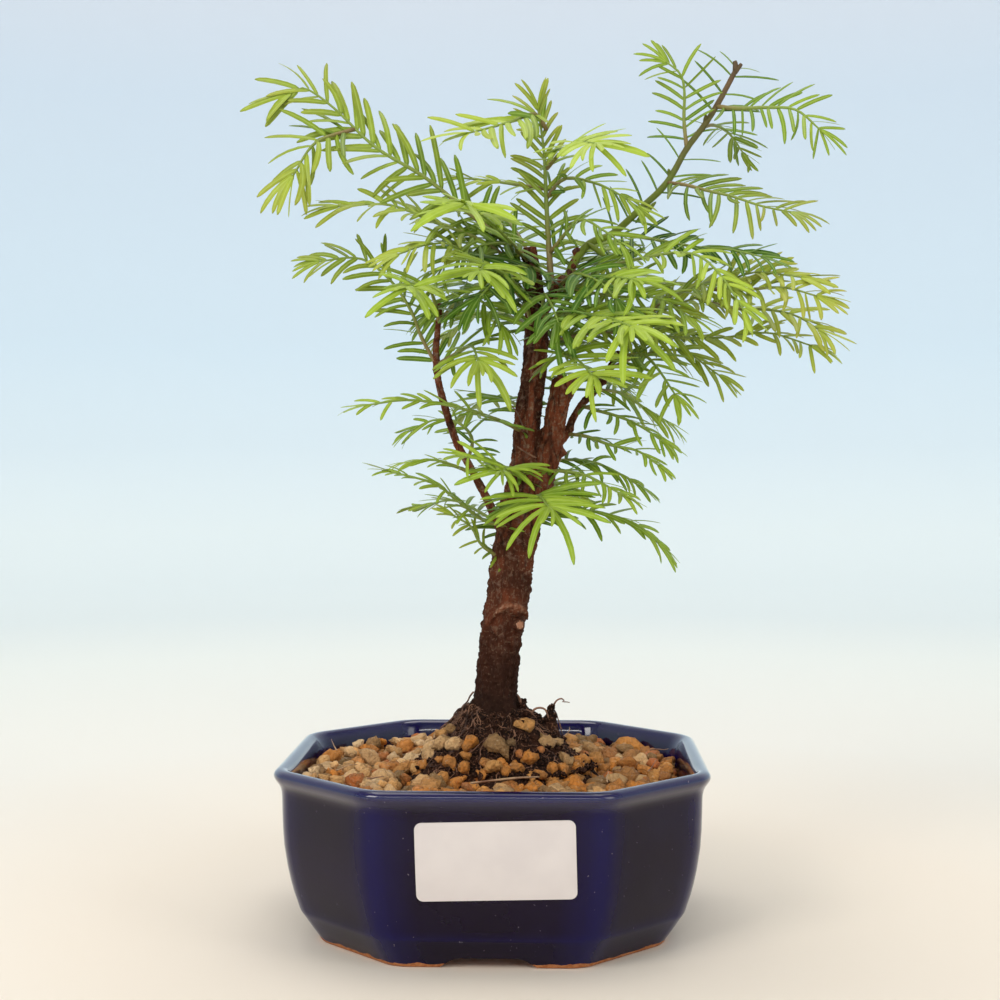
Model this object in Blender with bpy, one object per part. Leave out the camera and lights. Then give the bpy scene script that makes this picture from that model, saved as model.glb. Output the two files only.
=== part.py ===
"""A dawn redwood bonsai in its glazed eight-sided pot, as separate solids.

Sizes are in millimetres and are turned into metres when each mesh is finished.
Points are measured from the middle of the pot's foot, with the front of the pot
towards -Y. One empty carries every piece and sets the whole plant so that the
origin lies under the middle of its outline.
"""

import math
import random

import bmesh
import bpy
import numpy as np
from mathutils import Matrix, Vector
from mathutils.bvhtree import BVHTree

MM = 0.001
GAP = 0.3
POT_PLACE = (-19.4, 0.0, 0.0)
# How far a cutter runs past the faces that it cuts
OVERRUN = 1.0

# Pot: half widths across the flats at each height
CORNER_CUT = 0.475
CORNER_ROUND = 2.5
POT_OUTSIDE = (
    (0.0, 57.7), (1.2, 58.2), (10.5, 64.0), (21.0, 67.2), (33.0, 69.2),
    (45.0, 69.7), (50.5, 69.7), (53.5, 70.9), (56.0, 72.5), (57.8, 72.0),
)
POT_LIP = (58.6, 70.0)
POT_INSIDE = ((57.8, 67.6), (54.0, 66.0), (12.0, 59.5), (8.5, 56.0))
POT_FLOOR = POT_INSIDE[-1][0]
FOOT_HEIGHT = 3.5
FOOT_INSIDE = 50.0
FOOT_NOTCH_TOP = 22.0
FOOT_NOTCH_BOTTOM = 31.0
DRAIN_HOLE_RADIUS = 7.0
DRAIN_HOLES = (-24.0, 24.0)

# Plastic mesh laid over the drain holes
MESH_WIDTH = 24.0
MESH_THICKNESS = 1.0
MESH_BAR = 2.4
MESH_HOLES_EACH_WAY = 3

# Sticker on the front wall
LABEL_CENTRE = (2.8, 36.8)
LABEL_SIZE = (50.0, 25.0)
LABEL_CORNER = 2.0
LABEL_THICKNESS = 0.5
LABEL_TURN = math.radians(1.5)

# Soil, its mound round the trunk, and the gravel that covers it
SOIL_TOP = 45.5
GRAVEL_LEVEL = 54.0
GRAVEL_BOTTOM = SOIL_TOP + GAP
PEBBLE_PITCH = 8.0
PEBBLE_RISE = 2.2
PEBBLE_SHIFT = 1.0
PEBBLE_CORNER_DROP = (-0.6, 0.3)
PEBBLE_RISE_SPREAD = 0.6
PEBBLE_FIELD = 150.0
PEBBLE_DEPTH = 5.0
BED_ROOM = 0.1
MOUND_CENTRE = (3.0, -5.0)
MOUND_RADII = (29.0, 23.0)
MOUND_SIDES = 18
MOUND_TIERS = ((44.0, 1.0), (55.0, 1.0), (59.0, 0.86), (64.0, 0.68), (69.0, 0.52), (71.5, 0.44))
MOUND_LEAN = (-3.0, 5.0)
MOUND_UNEVEN = (0.9, 1.08)
MOUND_RING_WAVE = 0.8
TRUNK_HOLE_BOTTOM = 52.0
TRUNK_HOLE_TOP = 90.0
TRUNK_HOLE_SIDES = 16
TRUNK_HOLE_ROOM = 0.2
TRUNK_FOOT_RADIUS = 8.8
DRAIN_HOLE_SIDES = 12

# Wood: x, y, z and radius at each ring
TRUNK = (
    (0, 0, TRUNK_HOLE_BOTTOM + GAP, TRUNK_FOOT_RADIUS), (0, 0, 71.0, TRUNK_FOOT_RADIUS),
    (0, 0, 75.0, 7.5), (1, 0, 88, 7.1), (2, 0, 99, 7.2), (4, 0, 110, 7.4), (6, 0, 124, 7.3),
    (8, 0, 136, 7.7), (9, 0, 145, 7.6), (10, 0, 153, 6.0), (10.5, 0, 162, 5.0),
    (11, 0, 173, 4.6), (13, 0, 187, 4.4), (14, 0, 201, 4.2), (14, 0, 213, 3.7),
    (13, 0, 226, 3.1), (12, 0, 235, 2.5),
)
CUT_LIMB = (
    (10, -1, 138, 5.0), (14.5, -2.5, 149, 4.7), (18, -3, 159, 4.2), (20, -3, 168, 3.8),
    (21.5, -3, 178, 3.8), (24, -3, 187, 4.2), (24.8, -3, 189.5, 3.2),
)
LEFT_BRANCH = (
    (5, 0, 132, 2.1), (1, -1.5, 139, 1.9), (-2, -3, 146, 1.6), (-7, -6, 156, 1.4),
    (-13, -8, 167, 1.35), (-16, -9, 176, 1.3), (-19, -9, 187, 1.25), (-20, -8, 199, 1.2),
    (-19, -7, 211, 1.1), (-19, -6, 215, 1.0),
)
RIGHT_TWIG = (
    (20, -2.5, 165, 1.9), (25, 0, 170, 1.5), (27, 2, 175, 1.35), (30, 4, 180, 1.35),
    (34.5, 6, 185, 1.4), (39, 8, 191, 1.45), (43, 10, 199, 1.4),
)
CLIMBING_TWIG = (
    (11, -2, 162, 1.6), (12.5, -5.6, 172, 1.2), (13, -6.2, 186, 1.1), (15, -6.5, 201, 1.1),
    (20, -4, 218, 1.25), (26, 0, 226, 1.25), (29, 2, 235, 1.1),
)
PRUNED_KNOT = ((5, -2, 103, 2.8), (8, -6, 103.6, 2.5), (9, -8.6, 104, 1.7))
CALLUS = ((2, -3, 109, 2.4), (6, -5.6, 109.5, 2.6), (9.5, -4, 108, 1.9))
LIMBS = (
    (TRUNK, 10), (CUT_LIMB, 8), (LEFT_BRANCH, 6), (RIGHT_TWIG, 6), (CLIMBING_TWIG, 6),
    (PRUNED_KNOT, 6), (CALLUS, 6),
)
BARK_UNEVEN = 0.05

# The long green leader that rises to the right from the top of the wood
LEADER = (
    (27.5, 1, 230, 1.35), (33, 2, 236.5, 1.3), (41, 3, 240, 1.25), (51, 4, 249, 1.2),
    (60, 5, 258, 1.15), (67, 6, 270, 1.1), (73, 7, 278, 1.05), (78, 8, 286, 1.0),
    (85, 9, 299, 0.9),
)

# Leafy shoots: name, route from the wood outwards, the way the flat side of the
# foliage looks, and the length of its needles
UP = (0.0, 0.0, 1.0)
LEAN = (0.0, -0.6, 0.8)
FRONT = (0.0, -1.0, 0.25)
SPRAYS = (
    ("crown_left", ((12, 0, 231), (-5, -6, 243), (-23, -12, 257), (-40, -16, 267),
                    (-54, -18, 280), (-65, -18, 286), (-75, -20, 281)), LEAN, 12),
    ("crown_left_side", ((-47, -17, 273), (-57, -30, 265), (-62, -44, 255)), LEAN, 14),
    ("left_upper", ((14, 0, 224), (-4, -9, 236), (-21, -15, 242), (-35, -19, 247),
                    (-52, -23, 246)), LEAN, 12),
    ("left_middle", ((14, -1, 214), (-11, -17, 232), (-21, -24, 233), (-31, -30, 229)), LEAN, 12),
    ("left_branch_long", ((-19, -9, 192), (-25, -8, 203), (-29, -9, 213), (-36, -10, 223),
                          (-46, -11, 230), (-60, -12, 229)), LEAN, 11),
    ("front_high", ((12.6, 0, 229), (4, -14, 237), (-3, -27, 242), (-8, -48, 243)), LEAN, 14),
    ("front_middle", ((14, 0, 205), (8, -15, 220), (-1, -31, 225), (-3, -50, 221)), LEAN, 14),
    ("front_left", ((-19, -7, 208), (-20, -16, 215), (-22, -28, 219), (-26, -44, 217)), LEAN, 13),
    ("centre", ((20, -4, 218), (19, 1, 231), (18, 0, 248), (17, -2, 268), (15, -4, 282)),
     FRONT, 11),
    ("centre_front", ((18, -1, 262), (23, -10, 266), (28, -22, 267), (34, -36, 264)), LEAN, 13),
    ("centre_droop", ((18, 0, 252), (24, -4, 258), (34, -8, 256), (42, -10, 252),
                      (49, -12, 247)), LEAN, 10),
    ("leader_up", ((67, 6, 270), (66, 6, 280), (66, 4, 291), (63, 2, 302)), FRONT, 11),
    ("leader_right", ((77.5, 8, 285), (85, 2, 283), (94, -4, 282), (103, -9, 280),
                      (113, -15, 270)), LEAN, 11),
    ("leader_middle", ((60, 5, 258), (66, -2, 256), (73, -8, 253), (81, -14, 250),
                       (90, -19, 246), (99, -25, 243)), LEAN, 12),
    ("leader_low", ((41, 3, 240), (52, -1, 238), (61, -3, 236), (71, -5, 234), (80, -8, 233),
                    (91, -12, 230)), LEAN, 11),
    ("arch_right", ((26, 0, 226), (41, -7, 228), (52, -11, 230), (62, -15, 231), (70, -19, 229),
                    (77, -24, 221), (83, -30, 210)), LEAN, 11),
    ("right_back", ((14, 0, 217), (32, 9, 223), (48, 14, 225), (64, 18, 224), (79, 22, 223)),
     UP, 11),
    ("far_right", ((14, 0, 209), (37, 3, 212), (52, 4, 211), (63, 3, 215), (74, 0, 219),
                   (88, -7, 225), (107, -17, 222)), LEAN, 12),
    ("far_right_front", ((76, -1, 220), (86, -10, 219), (98, -16, 219), (112, -23, 214)),
     LEAN, 12),
    ("far_right_low", ((70, 2, 217.5), (82, 4, 214), (95, 0, 213), (106, -5, 210),
                       (115, -10, 203)), LEAN, 12),
    ("right_lower", ((14, 0, 201), (30, 7, 205), (46, 11, 206), (67, 9, 204), (82, 5, 204),
                     (95, 0, 205), (109, -7, 200)), LEAN, 11),
    ("front_right_high", ((15, -6.5, 203), (24, -19, 210), (36, -35, 208), (45, -54, 203)),
     LEAN, 15),
    ("front_right_low", ((13, -6.2, 190), (22, -18, 196), (28, -32, 194), (33, -48, 188)),
     LEAN, 14),
    ("twig_front", ((42, 9.5, 197), (51, 3, 198), (56, -4, 193), (62, -12, 183)), LEAN, 12),
    ("twig_right", ((40, 8.5, 193), (51, 14, 198), (66, 17, 200), (80, 17, 191)), LEAN, 11),
    ("twig_back", ((35, 6.2, 185.6), (44, 15, 185), (53, 22, 180), (62, 29, 175)), LEAN, 11),
    ("twig_low", ((30, 4, 180), (36, -2, 178), (44, -6, 175.5), (51, -10, 172), (58, -13, 167)),
     LEAN, 10),
    ("limb_right", ((25, 0, 170), (32, -6, 169), (40, -11, 166), (49, -15, 164), (56, -19, 159)),
     LEAN, 10),
    ("limb_back", ((18.2, -3, 160), (26, 5, 161), (35, 8, 160), (44, 10, 156), (52, 10, 151)),
     LEAN, 10),
    ("limb_front", ((17.5, -3, 157), (24, -13, 157), (32, -18, 155.5), (44, -24, 149)), LEAN, 10),
    ("hanging", ((-19, -9, 194), (-13, -14, 197), (-7, -24, 199), (-4, -40, 193)), LEAN, 14),
    ("left_arch", ((11, 0, 170), (3, -12, 174), (-6, -18, 177), (-18, -21, 180), (-30, -23, 181),
                   (-43, -27, 179)), LEAN, 11),
    ("left_inner", ((-9.5, -7, 160), (-8, 0, 168), (-13, 4, 174), (-22, 6, 175), (-31, 8, 171)),
     LEAN, 9),
    ("left_low_front", ((-7, -6, 156), (-14, -10, 159), (-21, -12, 161), (-30, -14, 160)),
     LEAN, 9),
    ("left_low", ((8, 0, 137), (-3, -11, 140), (-12, -17, 147), (-20, -21, 153), (-34, -26, 157)),
     LEAN, 12),
    ("left_lowest", ((6, 0, 124), (-4, -6, 131), (-8, -10, 138), (-14, -13, 142)), LEAN, 9),
    ("near_high", ((10, 0, 153), (7, -14, 157), (5, -26, 158.5), (1, -40, 158)), LEAN, 12),
    ("near_low", ((9, 0, 143), (14, -18, 148), (16, -34, 149), (19, -54, 146)), LEAN, 16),
    ("right_low", ((9, 0, 139), (24, 7, 143), (36, 9, 142.5), (50, 12, 138), (58, 13, 131)),
     LEAN, 11),
    ("inner_front", ((20, -4, 216), (28, -12, 220), (38, -22, 222), (47, -34, 220)), LEAN, 12),
    ("inner_left", ((14, 0, 211), (3, 8, 219), (-12, 14, 224), (-28, 18, 223)), UP, 12),
    ("back_crown", ((12.5, 0, 232), (4, 16, 246), (-10, 32, 255), (-24, 46, 253)), UP, 12),
    ("back_right_crown", ((26, 0, 225), (32, 18, 236), (38, 36, 241), (44, 56, 236)), UP, 13),
    ("back_left", ((14, 0, 206), (4, 20, 213), (-8, 38, 215), (-21, 55, 209)), UP, 13),
    ("back_right", ((14, 0, 199), (32, 20, 208), (48, 36, 213), (65, 52, 209)), UP, 13),
    ("back_limb", ((24, -3, 184), (31, 16, 191), (39, 34, 193), (47, 51, 187)), UP, 12),
    ("back_middle", ((11.5, 0, 176), (5, 18, 182), (-4, 34, 184), (-14, 50, 178)), UP, 12),
    ("back_low", ((9, 0, 145), (15, 18, 150), (21, 34, 153), (27, 51, 148)), UP, 12),
    ("back_low_left", ((8, 0, 134), (-4, 14, 141), (-16, 27, 146), (-28, 38, 144)), UP, 11),
    ("leader_back", ((73, 7, 278), (78, 16, 280), (84, 26, 279), (90, 36, 274)), UP, 11),
)
SHOOT_RADIUS = (0.95, 0.6)
SHOOT_HALF_WIDTH = 0.9
SHOOT_BELLY = 0.5
SHOOT_ROD = 4.0
ROUTE_STEP = 1.0
SEAT_REACH = 14.0
SEAT_STEP = 0.1

# Needles
NEEDLE_SPACING = 5.0
NEEDLE_ROOT = 1.8
NEEDLE_TIP_WIDTH = 1.25
NEEDLE_THICKNESS = 0.65
NEEDLE_ROOM = 0.95
NEEDLE_SEAT = 0.6
NEEDLE_LENGTH_SPREAD = (0.92, 1.06)
NEEDLE_SHORTEST = 0.62
NEEDLE_FULL_BEFORE = 0.18
NEEDLE_OWN_START = 4.5
NEEDLE_OWN_RADIUS = 0.3
NEEDLE_OWN_GAP = 0.2
BARE_BASE = 5.0
END_NEEDLE = 0.7
END_TAPER = 0.55
ANGLE_AT_BASE = math.radians(66)
ANGLE_AT_TIP = math.radians(38)
ANGLE_CURVE = 1.5
ANGLE_SPREAD = 0.08
LIFT_MOST = 0.25
DODGES = (0.0, 0.25, -0.25, 0.5, -0.5, 0.8, -0.8)
SHORTENED = (1.0, 0.75, 0.55)

# Colours and surface finish: base colour, roughness, metallic
FINISHES = {
    "glaze": ((0.012, 0.018, 0.13, 1.0), 0.16, 0.0),
    "gravel": ((0.42, 0.24, 0.11, 1.0), 0.8, 0.0),
    "soil": ((0.045, 0.022, 0.012, 1.0), 0.95, 0.0),
    "bark": ((0.10, 0.045, 0.025, 1.0), 0.85, 0.0),
    "shoot": ((0.16, 0.17, 0.03, 1.0), 0.6, 0.0),
    "needle": ((0.22, 0.42, 0.04, 1.0), 0.45, 0.0),
    "label": ((0.82, 0.80, 0.80, 1.0), 0.4, 0.0),
    "mesh": ((0.03, 0.03, 0.03, 1.0), 0.5, 0.0),
}


class Room:
    """The space already taken, held as round-ended rods with an owner each."""

    def __init__(self, capacity=8000):
        self.starts = np.zeros((capacity, 3))
        self.ends = np.zeros((capacity, 3))
        self.radii = np.zeros(capacity)
        self.owners = []

    def take(self, start, end, radius, owner):
        index = len(self.owners)
        self.starts[index] = start
        self.ends[index] = end
        self.radii[index] = radius
        self.owners.append(owner)

    def clearance(self, start, end, radius, skipped=()):
        """Free distance from a new rod to the nearest rod of any owner not skipped."""
        count = len(self.owners)
        if count == 0:
            return math.inf
        gaps = rod_distances(np.array(start), np.array(end), self.starts[:count], self.ends[:count])
        gaps = gaps - self.radii[:count] - radius
        kept = [index for index, owner in enumerate(self.owners) if owner not in skipped]
        return gaps[kept].min() if kept else math.inf


class Surfaces:
    """Faces of the wood and stems made so far, to seat a new stem just off them."""

    def __init__(self):
        self.trees = []

    def add(self, bm):
        self.trees.append(BVHTree.FromBMesh(bm))

    def distance(self, point):
        return min(tree.find_nearest(point)[3] for tree in self.trees)


def rod_distances(start, end, starts, ends):
    """Shortest distances between one line segment and many others."""
    run = end - start
    runs = ends - starts
    between = start - starts
    own = run @ run
    others = (runs * runs).sum(axis=1)
    mixed = runs @ run
    ahead = between @ run
    across = (runs * between).sum(axis=1)
    spread = np.maximum(own * others - mixed * mixed, 1e-9)
    here = np.clip((mixed * across - ahead * others) / spread, 0, 1)
    there = (mixed * here + across) / others
    here = np.where(there < 0, np.clip(-ahead / own, 0, 1), here)
    here = np.where(there > 1, np.clip((mixed - ahead) / own, 0, 1), here)
    there = np.clip(there, 0, 1)
    nearest = (start + here[:, None] * run) - (starts + there[:, None] * runs)
    return np.linalg.norm(nearest, axis=1)


class Route:
    """A line of close points and the distance along it at each of them."""

    def __init__(self, line, marks):
        self.line = line
        self.marks = marks

    @classmethod
    def through(cls, points):
        """A smooth route through a few points."""
        line = smooth_line([Vector(point) for point in points])
        marks = [0.0]
        for here, there in zip(line, line[1:]):
            marks.append(marks[-1] + (there - here).length)
        return cls(line, marks)

    @property
    def length(self):
        return self.marks[-1]

    def point(self, distance):
        distance = min(max(distance, 0.0), self.length)
        index = min(np.searchsorted(self.marks, distance, side="right"), len(self.line) - 1)
        before = self.marks[index - 1]
        share = (distance - before) / (self.marks[index] - before)
        return self.line[index - 1].lerp(self.line[index], share)

    def heading(self, distance):
        return (self.point(distance + 1.0) - self.point(distance - 1.0)).normalized()

    def trimmed(self, start):
        """The rest of the route, from a distance along it."""
        span = self.length - start
        count = max(2, round(span / ROUTE_STEP))
        line = [self.point(start + span * step / count) for step in range(count + 1)]
        return Route(line, [span * step / count for step in range(count + 1)])


def smooth_line(points):
    """A Catmull-Rom curve, about one route step between its points."""
    ends = [2 * points[0] - points[1]] + points + [2 * points[-1] - points[-2]]
    line = []
    for before, start, end, after in zip(ends, ends[1:], ends[2:], ends[3:]):
        count = max(1, round((end - start).length / ROUTE_STEP))
        for step in range(count):
            t = step / count
            line.append(0.5 * (2 * start + (end - before) * t
                               + (2 * before - 5 * start + 4 * end - after) * t ** 2
                               + (3 * start - before - 3 * end + after) * t ** 3))
    line.append(points[-1])
    return line


def between(low, high, share):
    return low + (high - low) * share


def add_material(name):
    colour, roughness, metallic = FINISHES[name]
    material = bpy.data.materials.new(name)
    material.use_nodes = True
    shader = material.node_tree.nodes["Principled BSDF"]
    shader.inputs["Base Color"].default_value = colour
    shader.inputs["Roughness"].default_value = roughness
    shader.inputs["Metallic"].default_value = metallic
    material.diffuse_color = colour
    return material


def add_piece(name, bm, material, carrier, smooth_angle=None):
    """Turn a finished bmesh in millimetres into an object in metres."""
    bmesh.ops.triangulate(bm, faces=bm.faces)
    bmesh.ops.recalc_face_normals(bm, faces=bm.faces)
    bmesh.ops.transform(bm, matrix=Matrix.Scale(MM, 4), verts=bm.verts)
    mesh = bpy.data.meshes.new(name)
    bm.to_mesh(mesh)
    bm.free()
    if smooth_angle is not None:
        mesh.shade_smooth()
        mesh.set_sharp_from_angle(angle=smooth_angle)
    mesh.materials.append(material)
    piece = bpy.data.objects.new(name, mesh)
    bpy.context.scene.collection.objects.link(piece)
    piece.parent = carrier
    return piece


def loft(rings):
    """A closed bmesh through rings of points, listed from its lower cap to its upper cap."""
    bm = bmesh.new()
    loops = [[bm.verts.new(point) for point in ring] for ring in rings]
    count = len(loops[0])
    bm.faces.new(list(reversed(loops[0])))
    for lower, upper in zip(loops, loops[1:]):
        for here in range(count):
            there = (here + 1) % count
            bm.faces.new((lower[here], lower[there], upper[there], upper[here]))
    bm.faces.new(loops[-1])
    return bm


def combine(bm, others, operation, solver="EXACT"):
    """Unite a bmesh with others, or cut them from it, with one Boolean on a collection."""
    scene = bpy.context.scene
    tools = bpy.data.collections.new("tools")
    scene.collection.children.link(tools)
    pieces = []
    for index, other in enumerate([bm] + others):
        mesh = bpy.data.meshes.new(f"tool_{index}")
        bmesh.ops.recalc_face_normals(other, faces=other.faces)
        other.to_mesh(mesh)
        other.free()
        pieces.append(bpy.data.objects.new(f"tool_{index}", mesh))
    target = pieces[0]
    scene.collection.objects.link(target)
    for piece in pieces[1:]:
        tools.objects.link(piece)
    boolean = target.modifiers.new("combine", "BOOLEAN")
    boolean.operation = operation
    boolean.solver = solver
    boolean.operand_type = "COLLECTION"
    boolean.collection = tools
    evaluated = target.evaluated_get(bpy.context.evaluated_depsgraph_get())
    result = bmesh.new()
    result.from_mesh(evaluated.to_mesh())
    evaluated.to_mesh_clear()
    for piece in pieces:
        bpy.data.objects.remove(piece)
    bpy.data.collections.remove(tools)
    bmesh.ops.remove_doubles(result, verts=result.verts, dist=0.001)
    bmesh.ops.dissolve_degenerate(result, edges=result.edges, dist=0.001)
    return result


def octagon(half_width, height):
    """A square ring with its four corners cut off and each new corner eased."""
    cut = half_width * CORNER_CUT
    flat = half_width - cut
    ease = CORNER_ROUND
    slant = ease * math.sqrt(0.5)
    quarter = (
        (half_width, flat - ease), (half_width - slant, flat + slant),
        (flat + slant, half_width - slant), (flat - ease, half_width),
    )
    ring = []
    for turn in range(4):
        spin = Matrix.Rotation(turn * math.pi / 2, 3, "Z")
        ring += [spin @ Vector((x, y, height)) for x, y in quarter]
    return ring


def wall_at(height):
    """Half width of the pot's outside at a height."""
    heights = [ring[0] for ring in POT_OUTSIDE]
    widths = [ring[1] for ring in POT_OUTSIDE]
    return float(np.interp(height, heights, widths))


def inside_at(height):
    heights = [ring[0] for ring in reversed(POT_INSIDE)]
    widths = [ring[1] for ring in reversed(POT_INSIDE)]
    return float(np.interp(height, heights, widths))


def round_bar(x, y, low, high, radius, sides):
    angles = [2 * math.pi * side / sides for side in range(sides)]
    return loft([
        [Vector((x + radius * math.cos(a), y + radius * math.sin(a), z)) for a in angles]
        for z in (low, high)
    ])


def foot_notch(turn):
    """The wedge cut under one side of the foot, run through from the middle outwards."""
    reach = POT_OUTSIDE[-1][1]
    spin = Matrix.Rotation(turn, 3, "Z")
    rings = []
    for y in (0.0, -reach):
        ring = [
            (-FOOT_NOTCH_BOTTOM / 2, y, 0.0), (FOOT_NOTCH_BOTTOM / 2, y, 0.0),
            (FOOT_NOTCH_TOP / 2, y, FOOT_HEIGHT), (-FOOT_NOTCH_TOP / 2, y, FOOT_HEIGHT),
        ]
        flare = (FOOT_NOTCH_BOTTOM - FOOT_NOTCH_TOP) / 2
        ring[0] = (ring[0][0] - flare, y, -FOOT_HEIGHT)
        ring[1] = (ring[1][0] + flare, y, -FOOT_HEIGHT)
        rings.append([spin @ Vector(point) for point in ring])
    return loft(rings)


def make_pot(carrier, material):
    rings = [octagon(width, height) for height, width in POT_OUTSIDE]
    rings.append(octagon(POT_LIP[1], POT_LIP[0]))
    rings += [octagon(width, height) for height, width in POT_INSIDE]
    cuts = [loft([octagon(FOOT_INSIDE, -OVERRUN), octagon(FOOT_INSIDE, FOOT_HEIGHT)])]
    cuts += [foot_notch(turn * math.pi / 2) for turn in range(4)]
    cuts += [
        round_bar(x, 0, 0, POT_FLOOR + OVERRUN, DRAIN_HOLE_RADIUS, DRAIN_HOLE_SIDES)
        for x in DRAIN_HOLES
    ]
    add_piece("pot", combine(loft(rings), cuts, "DIFFERENCE"), material, carrier, math.radians(35))


def grid_lines():
    """Places of the lines between the bars and the holes across one mesh."""
    hole = (MESH_WIDTH - MESH_BAR * (MESH_HOLES_EACH_WAY + 1)) / MESH_HOLES_EACH_WAY
    lines = [-MESH_WIDTH / 2]
    for _ in range(MESH_HOLES_EACH_WAY):
        lines += [lines[-1] + MESH_BAR, lines[-1] + MESH_BAR + hole]
    return lines + [MESH_WIDTH / 2]


def make_drain_mesh(name, x, carrier, material):
    bm = bmesh.new()
    lines = grid_lines()
    verts = [[bm.verts.new((x + across, along, 0)) for across in lines] for along in lines]
    for row in range(len(lines) - 1):
        for column in range(len(lines) - 1):
            if row % 2 == 0 or column % 2 == 0:
                bm.faces.new((verts[row][column], verts[row][column + 1],
                              verts[row + 1][column + 1], verts[row + 1][column]))
    raised = bmesh.ops.extrude_face_region(bm, geom=bm.faces[:])["geom"]
    moved = [item for item in raised if isinstance(item, bmesh.types.BMVert)]
    bmesh.ops.translate(bm, verts=moved, vec=(0, 0, MESH_THICKNESS))
    bmesh.ops.translate(bm, verts=bm.verts, vec=(0, 0, POT_FLOOR + GAP))
    add_piece(name, bm, material, carrier)


def label_outline():
    """Rounded rectangle, turned a little, as x and z on the front wall."""
    corners = ((1, 1), (-1, 1), (-1, -1), (1, -1))
    outline = []
    for index, (right, top) in enumerate(corners):
        middle = Vector((right * (LABEL_SIZE[0] / 2 - LABEL_CORNER),
                         top * (LABEL_SIZE[1] / 2 - LABEL_CORNER)))
        for step in range(4):
            angle = (index + step / 3) * math.pi / 2
            outline.append(middle + LABEL_CORNER * Vector((math.cos(angle), math.sin(angle))))
    spin = Matrix.Rotation(LABEL_TURN, 2)
    return [spin @ point + Vector(LABEL_CENTRE) for point in outline]


def make_label(carrier, material):
    bm = bmesh.new()
    face = bm.faces.new([bm.verts.new((x, 0, z)) for x, z in label_outline()])
    for height, _ in POT_OUTSIDE:
        bmesh.ops.bisect_plane(bm, geom=bm.verts[:] + bm.edges[:] + bm.faces[:],
                               plane_co=(0, 0, height), plane_no=(0, 0, 1))
    back = bm.faces[:]
    raised = bmesh.ops.extrude_face_region(bm, geom=back)["geom"]
    front = {item for item in raised if isinstance(item, bmesh.types.BMVert)}
    for vert in bm.verts:
        vert.co.y = -wall_at(vert.co.z) - GAP - (LABEL_THICKNESS if vert in front else 0.0)
    add_piece("label", bm, material, carrier)


def mound_ring(height, scale, swell=0.0):
    """One uneven ring of the mound, drawn in towards the trunk as it rises."""
    rng = random.Random(11)
    ring = []
    for side in range(MOUND_SIDES):
        angle = 2 * math.pi * side / MOUND_SIDES
        uneven = rng.uniform(*MOUND_UNEVEN)
        x = MOUND_RADII[0] * math.cos(angle) * uneven
        y = MOUND_RADII[1] * math.sin(angle) * uneven
        reach = scale + swell / math.hypot(x, y)
        shift = 1.0 - scale
        wave = rng.uniform(-MOUND_RING_WAVE, MOUND_RING_WAVE) if scale < 1.0 else 0.0
        ring.append(Vector((
            MOUND_CENTRE[0] + MOUND_LEAN[0] * shift + x * reach,
            MOUND_CENTRE[1] + MOUND_LEAN[1] * shift + y * reach,
            height + wave,
        )))
    return ring


def make_soil(carrier, material):
    bottom = POT_FLOOR + GAP
    knee = POT_INSIDE[-2][0]
    block = loft([
        octagon(inside_at(bottom) - GAP, bottom), octagon(inside_at(knee) - GAP, knee),
        octagon(inside_at(SOIL_TOP) - GAP, SOIL_TOP),
    ])
    mound = loft([mound_ring(height, scale) for height, scale in MOUND_TIERS])
    whole = combine(block, [mound], "UNION")
    pocket = MESH_WIDTH / 2 + GAP
    trunk_room = TRUNK_FOOT_RADIUS + GAP + TRUNK_HOLE_ROOM
    cuts = [round_bar(0, 0, TRUNK_HOLE_BOTTOM, TRUNK_HOLE_TOP, trunk_room, TRUNK_HOLE_SIDES)]
    for x in DRAIN_HOLES:
        sides = ((-1, -1), (1, -1), (1, 1), (-1, 1))
        cuts.append(loft([
            [Vector((x + pocket * across, pocket * along, z)) for across, along in sides]
            for z in (0.0, POT_FLOOR + MESH_THICKNESS + 2 * GAP)
        ]))
    add_piece("soil", combine(whole, cuts, "DIFFERENCE"), material, carrier)


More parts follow.
